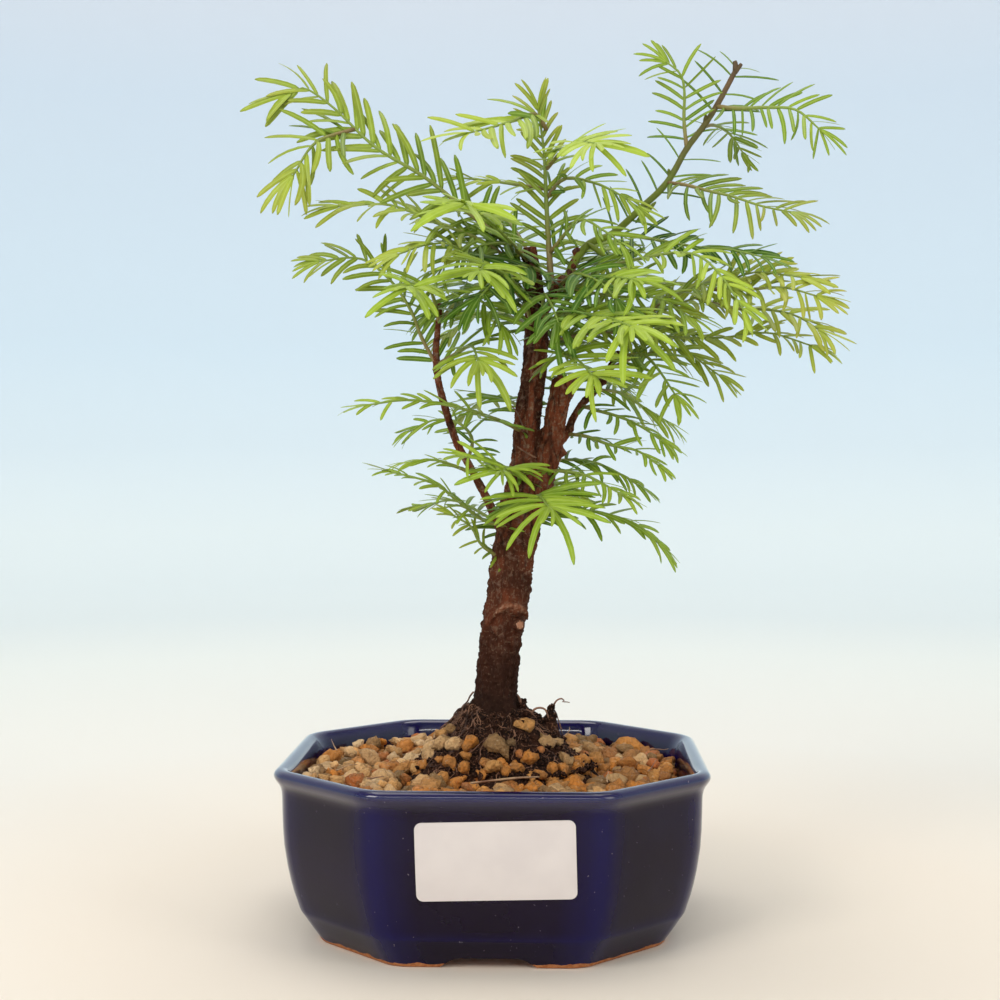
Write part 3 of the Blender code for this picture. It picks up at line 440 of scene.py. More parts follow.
def raised(profile):
    """A closed body: the octagon raised through (height, half width) steps."""
    (height, width), *steps = profile
    bm = eased_octagon(width, height)
    rim = [edge for edge in bm.edges if edge.is_boundary]
    for next_height, next_width in steps:
        made = bmesh.ops.extrude_edge_only(bm, edges=rim)
        fresh = new_points(made)
        known = set(fresh)
        rim = [item for item in made["geom"] if isinstance(item, bmesh.types.BMEdge)
               and set(item.verts) <= known]
        share = next_width / width
        bmesh.ops.scale(bm, verts=fresh, vec=(share, share, 1.0))
        bmesh.ops.translate(bm, verts=fresh, vec=(0, 0, next_height - height))
        height, width = next_height, next_width
    bmesh.ops.holes_fill(bm, edges=rim, sides=0)
    bmesh.ops.recalc_face_normals(bm, faces=bm.faces)
    return bm


pot_bm = raised(POT_OUTSIDE + POT_INSIDE)
print("pot wall", len(pot_bm.faces), "faces")

# %% Foot and drain holes
FOOT_HEIGHT = 3.5
FOOT_INSIDE = 50.0
# Width of a gap in the foot at its top and at the table, the rounding of its top, and
# how far out from the middle it reaches
GAP_TOP = 22.0
GAP_BOTTOM = 31.0
GAP_EASE = 2.0
GAP_REACH = 69.15
DRAIN_RADIUS = 7.0
DRAIN_HOLES = (-24.0, 24.0)
# The cutter of the hollow under the pot starts here, below the table
BELOW = -5.0


def foot_gap(turn):
    """A bar with sloping sides, to cut the gap under one side of the foot."""
    bm = bmesh.new()
    bmesh.ops.create_cube(bm, size=1.0)
    bmesh.ops.scale(bm, verts=bm.verts, vec=(GAP_TOP, GAP_REACH, 2 * FOOT_HEIGHT))
    bmesh.ops.translate(bm, verts=bm.verts, vec=(0, -GAP_REACH / 2, 0))
    under = [vert for vert in bm.verts if vert.co.z < 0]
    flare = 2 * GAP_BOTTOM / GAP_TOP - 1.0
    bmesh.ops.scale(bm, verts=under, vec=(flare, 1.0, 1.0))
    long_edges = [edge for edge in bm.edges if abs(edge.verts[0].co.y - edge.verts[1].co.y) > 1
                  and edge.verts[0].co.z > 0]
    bmesh.ops.bevel(bm, geom=long_edges, offset=GAP_EASE, segments=4, profile=0.5,
                    affect="EDGES", material=-1)
    bmesh.ops.rotate(bm, verts=bm.verts, matrix=Matrix.Rotation(turn, 3, "Z"))
    return bm


def drain_bar(x):
    """A round bar, to cut one drain hole through the floor of the pot."""
    bm = bmesh.new()
    bmesh.ops.create_cone(bm, cap_ends=True, segments=32, radius1=DRAIN_RADIUS,
                          radius2=DRAIN_RADIUS, depth=20.0, matrix=Matrix.Translation((x, 0, 5)))
    return bm


def carved(bm, cutters):
    """Cut the cutters out of a closed bmesh, and give the resulting mesh."""
    body = in_scene("carved", mesh_of(bm))
    helpers = [in_scene("cutter", mesh_of(cutter)) for cutter in cutters]
    for helper in helpers:
        cut = body.modifiers.new("cut", "BOOLEAN")
        cut.operation = "DIFFERENCE"
        cut.solver = "EXACT"
        cut.object = helper
    mesh = evaluated_mesh(body)
    for helper in helpers:
        bpy.data.objects.remove(helper)
    return mesh


recess = raised(((BELOW, FOOT_INSIDE), (FOOT_HEIGHT, FOOT_INSIDE)))
pot_mesh = carved(pot_bm, [recess] + [foot_gap(turn * math.pi / 2) for turn in range(4)]
                  + [drain_bar(x) for x in DRAIN_HOLES])
shaded(pot_mesh, 38)
print("pot with foot", len(pot_mesh.polygons), "faces")

# %% [markdown]
# ## Cobalt glaze
#
# A glaze runs thin over every corner and rounded edge, and there the bright cobalt
# shows, while it pools almost black on the flat walls. So each point of the pot is
# painted with how near it is to a corner, the lip or the ridge above the foot, and the
# material turns that into colour. The lip and the inside are glassier than the walls.
# The last millimetre or two at the foot is bare clay, as is all that lies underneath.

# %% Where the glaze is thin
CORNER_ANGLES = (math.atan2(1 - CORNER_CUT, 1.0), math.atan2(1.0, 1 - CORNER_CUT))
CORNER_SPREAD = 6.0
# Where glaze is thin on the lip and on the ridge, and where the rim turns glassy
LIP_HEIGHT, LIP_SPREAD = 57.4, 2.8
RIDGE_HEIGHT, RIDGE_SPREAD = 10.8, 0.9
GLASSY_FROM, GLASSY_OVER = 51.5, 4.0
# A face under the pot that lies this far inside the wall is bare
BARE_MARGIN = 1.6


def band(values, middle, spread):
    """1 in the middle of a band, fading to 0 beside it."""
    return np.exp(-((values - middle) / spread) ** 2)


places = points_of(pot_mesh)
heights = places[:, 2]
angle = np.mod(np.arctan2(places[:, 1], places[:, 0]), math.pi / 2)
to_corner = np.min([np.abs(angle - corner) for corner in CORNER_ANGLES], axis=0)
radius = np.hypot(places[:, 0], places[:, 1])
near_corner = 0.9 * band(to_corner * radius, 0.0, CORNER_SPREAD)
near_lip = band(heights, LIP_HEIGHT, LIP_SPREAD)
near_ridge = 0.55 * band(heights, RIDGE_HEIGHT, RIDGE_SPREAD)
paint(pot_mesh, "thin_glaze", np.clip(np.maximum(near_corner, near_lip) + near_ridge, 0, 1))
paint(pot_mesh, "glassy_rim", np.clip((heights - GLASSY_FROM) / GLASSY_OVER, 0, 1))
for face in pot_mesh.polygons:
    x, y, z = face.center
    if z < FOOT_HEIGHT + 0.1 and in_octagon(x, y, wall_at(z) - BARE_MARGIN):
        face.material_index = 1

glaze = Surface("cobalt_glaze", 0.12, specular=0.22)
cloudy = glaze.patches(55.0, 0.3, 0.75, detail=4.0)
streaks = glaze.grain(220.0, 0.2, stretch=5.0)
thin = glaze.times(glaze.read("thin_glaze"), glaze.between(streaks, 0.85, 1.1))
deep = glaze.mix(cloudy, (0.005, 0.0011, 0.011), (0.006, 0.0018, 0.018))
cobalt = glaze.mix(thin, deep, (0.007, 0.0045, 0.060))
pinholes = glaze.patches(950.0, 0.765, 0.80, detail=1.0)
specked = glaze.mix(glaze.times(pinholes, 0.7), cobalt, (0.20, 0.17, 0.20))
ragged = glaze.between(glaze.patches(160.0, 0.25, 0.8), 0.22, 0.55)
clay_edge = glaze.math("LESS_THAN", glaze.height(0.0, 0.004), ragged)
clay = glaze.mix(glaze.patches(700.0, 0.35, 0.7), (0.38, 0.125, 0.042), (0.53, 0.215, 0.085))
glaze.give("Base Color", glaze.mix(clay_edge, specked, clay))
glaze.roughness(glaze.math("MAXIMUM", clay_edge, glaze.times(cloudy, 0.12)), 0.09, 0.85)
waves = glaze.times(glaze.patches(70.0, 0.0, 1.0, detail=0.0), 0.85)
peel = glaze.times(glaze.patches(900.0, 0.2, 0.8, detail=0.0), 0.07)
glaze.bump(glaze.plus(waves, peel), 0.00012, 0.6)
glaze.shader["Coat Roughness"].default_value = 0.08
glaze.give("Coat Weight", glaze.times(glaze.read("glassy_rim"), 0.9))

bare_clay = two_toned("bare_clay", 0.85, (240.0, 0.3, 0.75, 4.0),
                      ((0.26, 0.085, 0.032), (0.42, 0.165, 0.066)), (0.75, 0.92))
bare_clay.bump(bare_clay.grain(700.0, 0.3), 0.0002, 0.8)
finished("pot_glazed", pot_mesh, [glaze, bare_clay], ["pot"])

# %% [markdown]
# ## The sticker
#
# A paper sticker with rounded corners lies on the front wall, which bulges a little.
# A flat rectangle would stand off the wall at its top and foot. So the rectangle is
# cut across every few millimetres, thickened, and each point is laid on the wall's
# own curve. It is left blank.

# %% Sticker
STICKER_MIDDLE = (2.8, 36.8)
STICKER_SIZE = (50.0, 25.0)
STICKER_CORNER = 2.2
STICKER_TURN = math.radians(1.5)
STICKER_THICKNESS = 0.3
# Distance between the cuts that let the sticker bend
STICKER_CUTS = 2.5
GLUE_GAP = 0.02

sticker = bmesh.new()
bmesh.ops.create_grid(sticker, x_segments=1, y_segments=1, size=0.5)
bmesh.ops.scale(sticker, verts=sticker.verts, vec=(*STICKER_SIZE, 1.0))
bmesh.ops.bevel(sticker, geom=sticker.verts[:], offset=STICKER_CORNER, offset_type="OFFSET",
                segments=6, profile=0.5, affect="VERTICES", material=-1)
bmesh.ops.rotate(sticker, verts=sticker.verts, matrix=Matrix.Rotation(STICKER_TURN, 3, "Z"))
for step in range(-10, 11):
    for direction in ((0, 1, 0), (1, 0, 0)):
        bmesh.ops.bisect_plane(
            sticker, geom=sticker.verts[:] + sticker.edges[:] + sticker.faces[:],
            plane_co=Vector(direction) * step * STICKER_CUTS, plane_no=direction)
top = new_points(bmesh.ops.extrude_face_region(sticker, geom=sticker.faces[:]))
bmesh.ops.translate(sticker, verts=top, vec=(0, 0, STICKER_THICKNESS))
bmesh.ops.transform(sticker, verts=sticker.verts, matrix=Matrix.Translation(
    (STICKER_MIDDLE[0], 0.0, STICKER_MIDDLE[1])) @ Matrix.Rotation(math.pi / 2, 4, "X"))
for vert in sticker.verts:
    vert.co.y -= wall_at(vert.co.z) + GLUE_GAP
bmesh.ops.recalc_face_normals(sticker, faces=sticker.faces)

label = two_toned("label_paper", 0.38, (90.0, 0.3, 0.75, 2.0),
                  ((0.70, 0.635, 0.615), (0.66, 0.595, 0.58)), (0.30, 0.48))
label.bump(label.grain(900.0, 0.1, stretch=0.6), 0.00004, 0.5)
finished("sticker_blank", mesh_of(sticker, 40), [label], ["label"])

# %% [markdown]
# ## Soil and the mound of peat
#
# The tree was planted with its old root ball, so a mound of dark fibrous peat stands
# round the foot of the trunk. It could be sculpted, but it is really a height over a
# plane: a fine grid is lifted by the mound's slope and by noise of three sizes, and its
# edge is pulled down to make it solid. Crumbs are scattered over it afterwards.

# %% Soil block
SOIL_HEIGHTS = (9.5, 12.0, 45.5)
SOIL_TOP = SOIL_HEIGHTS[-1]
INSIDE_GAP = 0.4

soil_bm = raised([(height, inside_at(height) - INSIDE_GAP) for height in SOIL_HEIGHTS])
peat = Surface("peat", 0.95, specular=0.15)
damp = peat.patches(180.0, 0.35, 0.7, detail=4.0)
bits = peat.patches(1400.0, 0.55, 0.68, detail=2.0)
brown = peat.mix(damp, (0.011, 0.0045, 0.0028), (0.036, 0.013, 0.0065))
peat.give("Base Color", peat.mix(bits, brown, (0.15, 0.070, 0.040)))
peat.bump(peat.grain(900.0, 0.6), 0.0006)
finished("soil_block", mesh_of(soil_bm, 40), [peat], ["soil"])

# %% Peat mound
# Middle and radii of the mound's edge, and how far its top is shifted
MOUND_MIDDLE = (3.0, -5.0)
MOUND_RADII = (29.0, 23.0)
MOUND_LEAN = (-3.0, 5.0)
# Share of the way to the edge, and height
MOUND_SLOPE = (
    (0.0, 75.5), (0.28, 75.0), (0.36, 73.2), (0.44, 71.5), (0.52, 69.0), (0.68, 64.0),
    (0.86, 59.0), (1.0, 55.2), (1.14, 51.0), (1.3, 46.0),
)
# Lumps of three sizes: height, layer of the noise and how close together they lie
MOUND_LUMPS = ((1.5, 3.0, 0.16), (0.9, 9.0, 0.42), (0.5, 5.0, 1.1))
# A peak, a flap and a shoulder of peat: x, y, height and spread
MOUND_PEAKS = ((20.0, -2.0, 8.5, 7.0), (9.5, -0.5, 4.0, 3.0), (-17.0, 3.0, 3.2, 70.0))
GRID_MIDDLE = (3.0, -4.0, 0.0)
GRID_REACH = (37, 30, 1, 1)
GRID_CELLS = (128, 108)


def mound_share(x, y):
    """0 in the middle of the mound and 1 at its edge; its top leans to the back."""
    share = 1.0
    for _ in range(4):
        across = x - MOUND_MIDDLE[0] - MOUND_LEAN[0] * (1 - share)
        along = y - MOUND_MIDDLE[1] - MOUND_LEAN[1] * (1 - share)
        share = min(1.3, math.hypot(across / MOUND_RADII[0], along / MOUND_RADII[1]))
    return share


def mound_height(x, y):
    """Height of the peat over a place in the pot."""
    lumps = 0.0
    for size, layer, pitch in MOUND_LUMPS:
        lumps += size * noise.noise(Vector((x, y, layer)) * pitch)
    height = float(np.interp(mound_share(x, y), *zip(*MOUND_SLOPE))) + lumps
    for peak_x, peak_y, size, spread in MOUND_PEAKS:
        height += size * math.exp(-((x - peak_x) ** 2 + (y - peak_y) ** 2) / spread)
    return height


mound_bm = bmesh.new()
bmesh.ops.create_grid(mound_bm, x_segments=GRID_CELLS[0], y_segments=GRID_CELLS[1], size=1.0,
                      matrix=Matrix.Translation(GRID_MIDDLE) @ Matrix.Diagonal(GRID_REACH))
for vert in mound_bm.verts:
    vert.co.z = mound_height(vert.co.x, vert.co.y)
rim = [edge for edge in mound_bm.edges if edge.is_boundary]
for vert in new_points(bmesh.ops.extrude_edge_only(mound_bm, edges=rim)):
    vert.co.z = SOIL_TOP - 1.0
bmesh.ops.holes_fill(mound_bm, edges=[edge for edge in mound_bm.edges if edge.is_boundary],
                     sides=0)
bmesh.ops.recalc_face_normals(mound_bm, faces=mound_bm.faces)
finished("peat_mound", mesh_of(mound_bm), [peat])

# %% [markdown]
# ## Stones: gravel and crumbs
#
# The gravel is washed river gravel, 3 to 8 mm, in ochre, tan, olive, cream and rust.
# Each stone could be unique, but eighteen shapes turned every way are enough for the
# eye. A stone is a coarse sphere, squashed and pushed about by noise. To lie as real
# stones do, each is dropped where it comes to rest lowest among those already there.

# %% Stone shapes


def random_vector(rng):
    """A vector that may point any way."""
    return Vector([rng.gauss(0, 1) for _ in range(3)])


def stone_shape(seed, roughness):
    """A rounded stone about one unit in radius, with four worn sides."""
    rng = random.Random(seed)
    bm = bmesh.new()
    bmesh.ops.create_uvsphere(bm, u_segments=10, v_segments=7, radius=1.0)
    bmesh.ops.scale(bm, verts=bm.verts, vec=(
        rng.uniform(1.0, 1.3), rng.uniform(0.8, 1.0), rng.uniform(0.62, 0.85)))
    for vert in bm.verts:
        push = noise.noise(vert.co * 0.9 + Vector((seed * 7.0, 0, 0)))
        push += 0.55 * noise.noise(vert.co * 2.1 + Vector((0, seed * 7.0, 0)))
        vert.co *= 1 + roughness * push
    for _ in range(4):
        way = random_vector(rng).normalized()
        worn_to = rng.uniform(0.55, 0.85)
        for vert in bm.verts:
            vert.co -= way * max(0.0, vert.co.dot(way) - worn_to)
    bmesh.ops.rotate(bm, verts=bm.verts, matrix=Matrix.Rotation(rng.uniform(0, 3), 3, "X"))
    bmesh.ops.recalc_face_normals(bm, faces=bm.faces)
    mesh = mesh_of(bm)
    mesh.attributes.new("own", "FLOAT_COLOR", "POINT")
    return mesh


STONES = [stone_shape(seed, 0.85) for seed in range(18)]
CRUMBS = [stone_shape(seed, 1.0) for seed in range(20, 26)]


def add_copy(bm, shape, matrix, marks):
    """Add a copy of a small mesh to a bmesh, in place, marked by its points or as one."""
    copy = shape.copy()
    copy.transform(matrix)
    marks = np.resize(marks, (len(copy.vertices), 4)).astype(np.float32)
    copy.attributes["own"].data.foreach_set("color", marks.ravel())
    bm.from_mesh(copy)
    bpy.data.meshes.remove(copy)


def laid(rng, place, tilt, size):
    """A matrix that lays a stone of a size at a place, turned and tilted by chance."""
    turn = (Matrix.Rotation(rng.uniform(0, 2 * math.pi), 4, "Z")
            @ Matrix.Rotation(rng.uniform(-tilt, tilt), 4, "X")
            @ Matrix.Rotation(rng.uniform(-tilt, tilt), 4, "Y"))
    return Matrix.Translation(place) @ turn @ Matrix.Scale(size, 4)


print(len(STONES), "shapes of stones and", len(CRUMBS), "of crumbs")

# %% Let the gravel settle
GRAVEL_TOP = 56.6
STONE_RADII = (1.45, 4.1)
# The higher this power is, the more of the stones are small
SMALL_STONES = 1.7
PLACES_TRIED = 14
MISSES_ALLOWED = 60
# Half the square in which places are tried, and the half width of the pot at the stones
TRIED_REACH = 66
STONES_REACH = inside_at(52.0)
# Room between a stone and the wall, as a share of its radius and as a gap
WALL_ROOM, WALL_GAP = 0.95, 0.3
# Stones lie beyond this share of the mound, and large ones further out
MOUND_EDGE, EDGE_PER_RADIUS = 0.90, 0.02
# How close stones lie, and how far one stands up on others or on the soil, as shares
BEDDING = 0.86
STANDING = 0.8
STANDING_ON_SOIL = 0.75


def in_pot(x, y, radius):
    """True if a stone fits between the wall and the mound at this place."""
    return (in_octagon(x, y, STONES_REACH - radius * WALL_ROOM - WALL_GAP)
            and mound_share(x, y) > MOUND_EDGE + EDGE_PER_RADIUS * radius)


def settle(rng):
    """Drop stones one by one, each to the lowest of several places tried."""
    places = np.zeros((0, 3))
    sizes = np.zeros(0)
    missed = 0
    smallest, largest = STONE_RADII
    while missed < MISSES_ALLOWED:
        radius = smallest + (largest - smallest) * rng.random() ** SMALL_STONES
        best = None
        for _ in range(PLACES_TRIED):
            x, y = (rng.uniform(-TRIED_REACH, TRIED_REACH) for _ in range(2))
            if not in_pot(x, y, radius):
                continue
            rest = SOIL_TOP + radius * STANDING_ON_SOIL
            away = np.hypot(places[:, 0] - x, places[:, 1] - y)
            reach = (sizes + radius) * BEDDING
            near = away < reach
            if near.any():
                rise = np.sqrt(reach[near] ** 2 - away[near] ** 2) * STANDING
                rest = max(rest, (places[near, 2] + rise).max())
            if best is None or rest < best[2]:
                best = (x, y, rest)
        if best is None or best[2] + radius * STANDING > GRAVEL_TOP:
            missed += 1
            continue
        places = np.vstack([places, best])
        sizes = np.append(sizes, radius)
    return places, sizes


stone_rng = random.Random(12)
stone_places, stone_sizes = settle(stone_rng)
print(len(stone_sizes), "stones settled")

# %% Build the gravel
# Stones that lie on the mound: x, y, radius and hue
MOUND_STONES = (
    (-7, -17, 3.0, 0.62), (11, -12, 3.0, 0.34), (19, -13, 3.3, 0.18), (2, -21, 4.0, 0.10),
    (0, -27, 3.3, 0.32), (12, -22.5, 3.3, 0.66), (-17, -12, 3.0, 0.20), (-13, -16, 3.4, 0.24),
    (-21, -9, 3.2, 0.24), (6, -19, 2.2, 0.03), (25, -15, 3.1, 0.16), (8, -26, 3.0, 0.5),
    (-9, -25, 2.8, 0.55), (29, -11, 2.6, 0.66), (-19, -3, 2.8, 0.30), (-15, -6, 2.2, 0.14),
    (-23, -3, 3.0, 0.98), (-20, 4, 2.6, 0.2), (20, -22, 2.4, 0.6), (-3, -24, 2.0, 0.75),
    (-14, -21, 2.6, 0.7), (16, -27, 2.8, 0.72), (-24, -12, 2.6, 0.5), (-27, -7, 2.4, 0.4),
    (-18, -17, 2.0, 0.72), (-9, -20.5, 2.2, 0.45), (-4, -28, 2.6, 0.68), (5, -27, 2.2, 0.6),
    (9, -22, 2.0, 0.9), (3, -24.5, 2.2, 0.55), (24, -20, 2.9, 0.5), (28, -16, 2.4, 0.62),
    (31, -6, 2.6, 0.45), (33, -1, 2.4, 0.5), (20, -26, 2.2, 0.4), (-24, 2, 2.2, 0.24),
    (13, -28, 2.1, 0.35), (-11, -28, 2.4, 0.5), (16.5, -17.5, 1.6, 0.9), (22, -9, 1.8, 0.2),
)
# Hues that are found more often on the left and on the right, and up to which share.
# Pale stones on the left and dark ones on the right are partly the gravel's own
# colours and partly painted light and shade, as if lit from the left.
LEFT_PALE_AND_LIT_HUES, LEFT_SHARE = (0.22, 0.26, 0.29, 0.96, 0.99), 0.6
RIGHT_DARK_AND_SHADED_HUES, RIGHT_SHARE = (0.10, 0.15, 0.50, 0.78, 0.80), 0.35
STONE_TILT = 0.5
gravel_bm = bmesh.new()
for place, size in zip(stone_places, stone_sizes):
    matrix = laid(stone_rng, place, STONE_TILT, size)
    hue = stone_rng.random()
    # Painted light from the left: stones lean to pale hues on the left and dark ones on the right
    if stone_rng.random() < LEFT_SHARE * unit((-15 - place[0]) / 35):
        hue = stone_rng.choice(LEFT_PALE_AND_LIT_HUES)
    elif stone_rng.random() < RIGHT_SHARE * unit(place[0] / 30):
        hue = stone_rng.choice(RIGHT_DARK_AND_SHADED_HUES)
    own = (hue, stone_rng.random(), stone_rng.random(), 1.0)
    add_copy(gravel_bm, stone_rng.choice(STONES), matrix, own)
for x, y, size, hue in MOUND_STONES:
    matrix = laid(stone_rng, (x, y, mound_height(x, y) + 0.4 * size), STONE_TILT, size)
    add_copy(gravel_bm, stone_rng.choice(STONES), matrix, (hue, 0.6, stone_rng.random(), 1.0))
print("gravel", len(gravel_bm.faces), "faces")

# %% Stone colours
pebble = Surface("river_stone", 0.72, specular=0.25)
hue, light, mottle = pebble.channels("own")
base = pebble.ramp(hue, (
    (0.0, (0.055, 0.045, 0.036)), (0.05, (0.18, 0.115, 0.050)), (0.14, (0.38, 0.21, 0.080)),
    (0.24, (0.92, 0.58, 0.28)), (0.31, (0.76, 0.36, 0.10)), (0.48, (0.69, 0.245, 0.038)),
    (0.66, (0.74, 0.25, 0.028)), (0.78, (0.45, 0.175, 0.042)), (0.88, (0.58, 0.125, 0.022)),
    (0.95, (0.80, 0.41, 0.13)), (1.0, (0.90, 0.66, 0.39)),
))
shade = pebble.mix(pebble.between(light, 0.0, 0.55), base, (0.36, 0.185, 0.070))
spots = pebble.patches(420.0, 0.42, 0.62, detail=6.0)
spotted = pebble.mix(pebble.times(spots, pebble.between(mottle, 0.1, 0.65)), shade,
                     (0.22, 0.12, 0.05))
chalk = pebble.patches(950.0, 0.60, 0.74, detail=4.0)
pebble.give("Base Color", pebble.mix(pebble.times(chalk, 0.5), spotted, (0.62, 0.46, 0.30)))
pebble.roughness(spots, 0.55, 0.85)
pocks = pebble.plus(pebble.grain(430.0, 0.35), pebble.times(pebble.patches(900.0), 0.25))
pebble.bump(pocks, 0.0013)
finished("gravel_stones", mesh_of(gravel_bm), [pebble], ["gravel"])

# %% Crumbs of peat
CRUMB_COUNT = 700
# Crumbs lie from near the trunk to just past the edge of the mound, on top of the stones
CRUMB_SHARES = (0.27, 1.12)
ON_STONES = 54.5
LARGEST_CRUMB = 1.3
CRUMB_TILT = 3.0
# Where places for crumbs are tried, along x and along y
CRUMBS_X, CRUMBS_Y = (-34, 40), (-34, 24)
crumb_bm = bmesh.new()
crumb_rng = random.Random(31)
while len(crumb_bm.verts) < CRUMB_COUNT * len(CRUMBS[0].vertices):
    x, y = (crumb_rng.uniform(*span) for span in (CRUMBS_X, CRUMBS_Y))
    share = mound_share(x, y)
    if not CRUMB_SHARES[0] <= share <= CRUMB_SHARES[1]:
        continue
    size = LARGEST_CRUMB * crumb_rng.uniform(0.3, 1.0) ** 1.5
    height = mound_height(x, y) + size * 0.3
    if share > 1.0:
        height = max(height, ON_STONES + size)
    matrix = laid(crumb_rng, (x, y, height), CRUMB_TILT, size)
    add_copy(crumb_bm, crumb_rng.choice(CRUMBS), matrix, (crumb_rng.random(), 0, 0, 1))
finished("peat_crumbs", mesh_of(crumb_bm), [peat])

# %% [markdown]
# ## The wood
#
# The trunk forks, and its fork and knots flow into each other without a seam. Tubes
# that are only pushed together would show a crease at every joint. So each limb is a
# tube on a smooth line, all tubes are remeshed into one skin, and then the skin is
# pushed in and out by noise to raise the bark's plates, cracks and knots.

# %% Limbs: x, y, z and radius
TRUNK = (
    (0, 0, 56, 9.6), (0, 0, 66, 9.2), (0, 0, 72, 8.5), (0, 0, 76, 7.7), (0.4, 0, 81, 7.3),
    (1, 0, 88, 7.1), (2, 0, 99, 7.2), (4, 0, 110, 7.4), (6, 0, 124, 7.3), (8, 0, 136, 7.7),
    (9, 0, 145, 7.6), (10, 0, 153, 6.0), (10.5, 0, 162, 5.0), (11, 0, 173, 4.6),
    (13, 0, 187, 4.4), (14, 0, 201, 4.2), (14, 0, 213, 3.7), (13, 0, 226, 3.1), (12, 0, 235, 2.5),
)
CUT_LIMB = (
    (10, -1, 138, 5.0), (14.5, -2.5, 149, 4.7), (18, -3, 159, 4.2), (20, -3, 168, 3.8),
    (21.5, -3, 178, 3.8), (24, -3, 187, 4.2), (24.8, -3, 189.5, 3.4),
)
LEFT_BRANCH = (
    (5, 0, 132, 2.1), (1, -1.5, 139, 1.9), (-2, -3, 146, 1.6), (-7, -6, 156, 1.4),
    (-13, -8, 167, 1.35), (-16, -9, 176, 1.3), (-19, -9, 187, 1.25), (-20, -8, 199, 1.2),
    (-19, -7, 211, 1.1), (-19, -6, 215, 1.0),
)
RIGHT_TWIG = (
    (20, -2.5, 165, 1.9), (25, 0, 170, 1.5), (27, 2, 175, 1.35), (30, 4, 180, 1.35),
    (34.5, 6, 185, 1.4), (39, 8, 191, 1.45), (43, 10, 199, 1.4),
)
CLIMBING_TWIG = (
    (11, -2, 162, 1.6), (12.5, -5.6, 172, 1.2), (13, -6.2, 186, 1.1), (15, -6.5, 201, 1.1),
    (20, -4, 218, 1.25), (26, 0, 226, 1.25), (29, 2, 235, 1.1),
)
PRUNED_KNOT = ((5, -2, 103, 2.8), (8, -6, 103.6, 2.5), (9, -8.6, 104, 1.8))
CALLUS = ((2, -3, 109, 2.4), (6, -5.6, 109.5, 2.6), (9.5, -4, 108, 1.9))
CALLUS_LIP = (
    (-2.5, -6.6, 104, 0.4), (0, -7.3, 107.2, 0.6), (2.4, -7.9, 109.2, 0.9),
    (4.6, -8.3, 110.7, 1.15), (7.2, -8.2, 110.6, 1.0), (9.4, -7.0, 109.4, 1.25),
    (11.0, -5.6, 107.6, 0.9), (11.2, -4.8, 105.4, 0.6),
)
CROTCH = ((11, -0.5, 148, 4.5), (15, -1.5, 160, 3.0), (16.6, -2, 168, 2.0), (17.2, -2, 172, 1.1))
ROOTS = (
    ((-4, -2, 77, 3.4), (-8.5, -3.5, 71.5, 2.4), (-12, -6, 66, 1.6)),
    ((4, -5, 76, 3.2), (7, -9, 70.5, 2.2), (10, -13, 64, 1.3)),
    ((-2, -5, 75, 3.2), (-4, -10, 69.5, 2.2), (-6, -15, 62.5, 1.3)),
    ((5, 2, 76, 3.2), (10, 3, 71.5, 2.2), (15, 5, 66, 1.4)),
    ((-3, 5, 76, 3.2), (-6, 9, 71, 2.2), (-8, 13, 65, 1.3)),
)
# Redness of the bark, with each limb
LIMBS = (
    (TRUNK, 0.19), (CUT_LIMB, 0.75), (LEFT_BRANCH, 0.6), (RIGHT_TWIG, 0.35),
    (CLIMBING_TWIG, 0.85), (PRUNED_KNOT, 0.3), (CALLUS, 0.35), (CALLUS_LIP, 0.6), (CROTCH, 0.3),
) + tuple((root, 0.12) for root in ROOTS)
LIMB_STEP = 1.5


def smooth_line(points, step):
    """Points about one step apart on a smooth curve through a few given ones."""
    given = [np.array(point, float) for point in points]
    given = [2 * given[0] - given[1]] + given + [2 * given[-1] - given[-2]]
    line = []
    for before, start, end, after in zip(given, given[1:], given[2:], given[3:]):
        count = max(1, round(np.linalg.norm((end - start)[:3]) / step))
        for index in range(count):
            t = index / count
            line.append(0.5 * (2 * start + (end - before) * t
                               + (2 * before - 5 * start + 4 * end - after) * t ** 2
                               + (3 * start - before - 3 * end + after) * t ** 3))
    return line + [given[-2]]


def tubes(strands, around=0):
    """One mesh of round tubes. Each strand is a list of (x, y, z, radius)."""
    curve = bpy.data.curves.new("strands", "CURVE")
    curve.dimensions = "3D"
    curve.bevel_depth = 1.0
    curve.bevel_resolution = around
    curve.use_fill_caps = True
    for strand in strands:
        spline = curve.splines.new("POLY")
        spline.points.add(len(strand) - 1)
        for point, (x, y, z, radius) in zip(spline.points, strand):
            point.co = (x, y, z, 1.0)
            point.radius = radius
    bm = bmesh.new()
    bm.from_mesh(evaluated_mesh(in_scene("strands", curve)))
    bmesh.ops.remove_doubles(bm, verts=bm.verts, dist=0.002)
    bmesh.ops.recalc_face_normals(bm, faces=bm.faces)
    return mesh_of(bm)


limb_lines = [smooth_line(rings, LIMB_STEP) for rings, _ in LIMBS]
skin = in_scene("skin", tubes(limb_lines, around=5))
remesh = skin.modifiers.new("one_skin", "REMESH")
remesh.mode = "VOXEL"
remesh.voxel_size = 0.5
wood_mesh = evaluated_mesh(skin)
print("wood skin", len(wood_mesh.polygons), "faces")

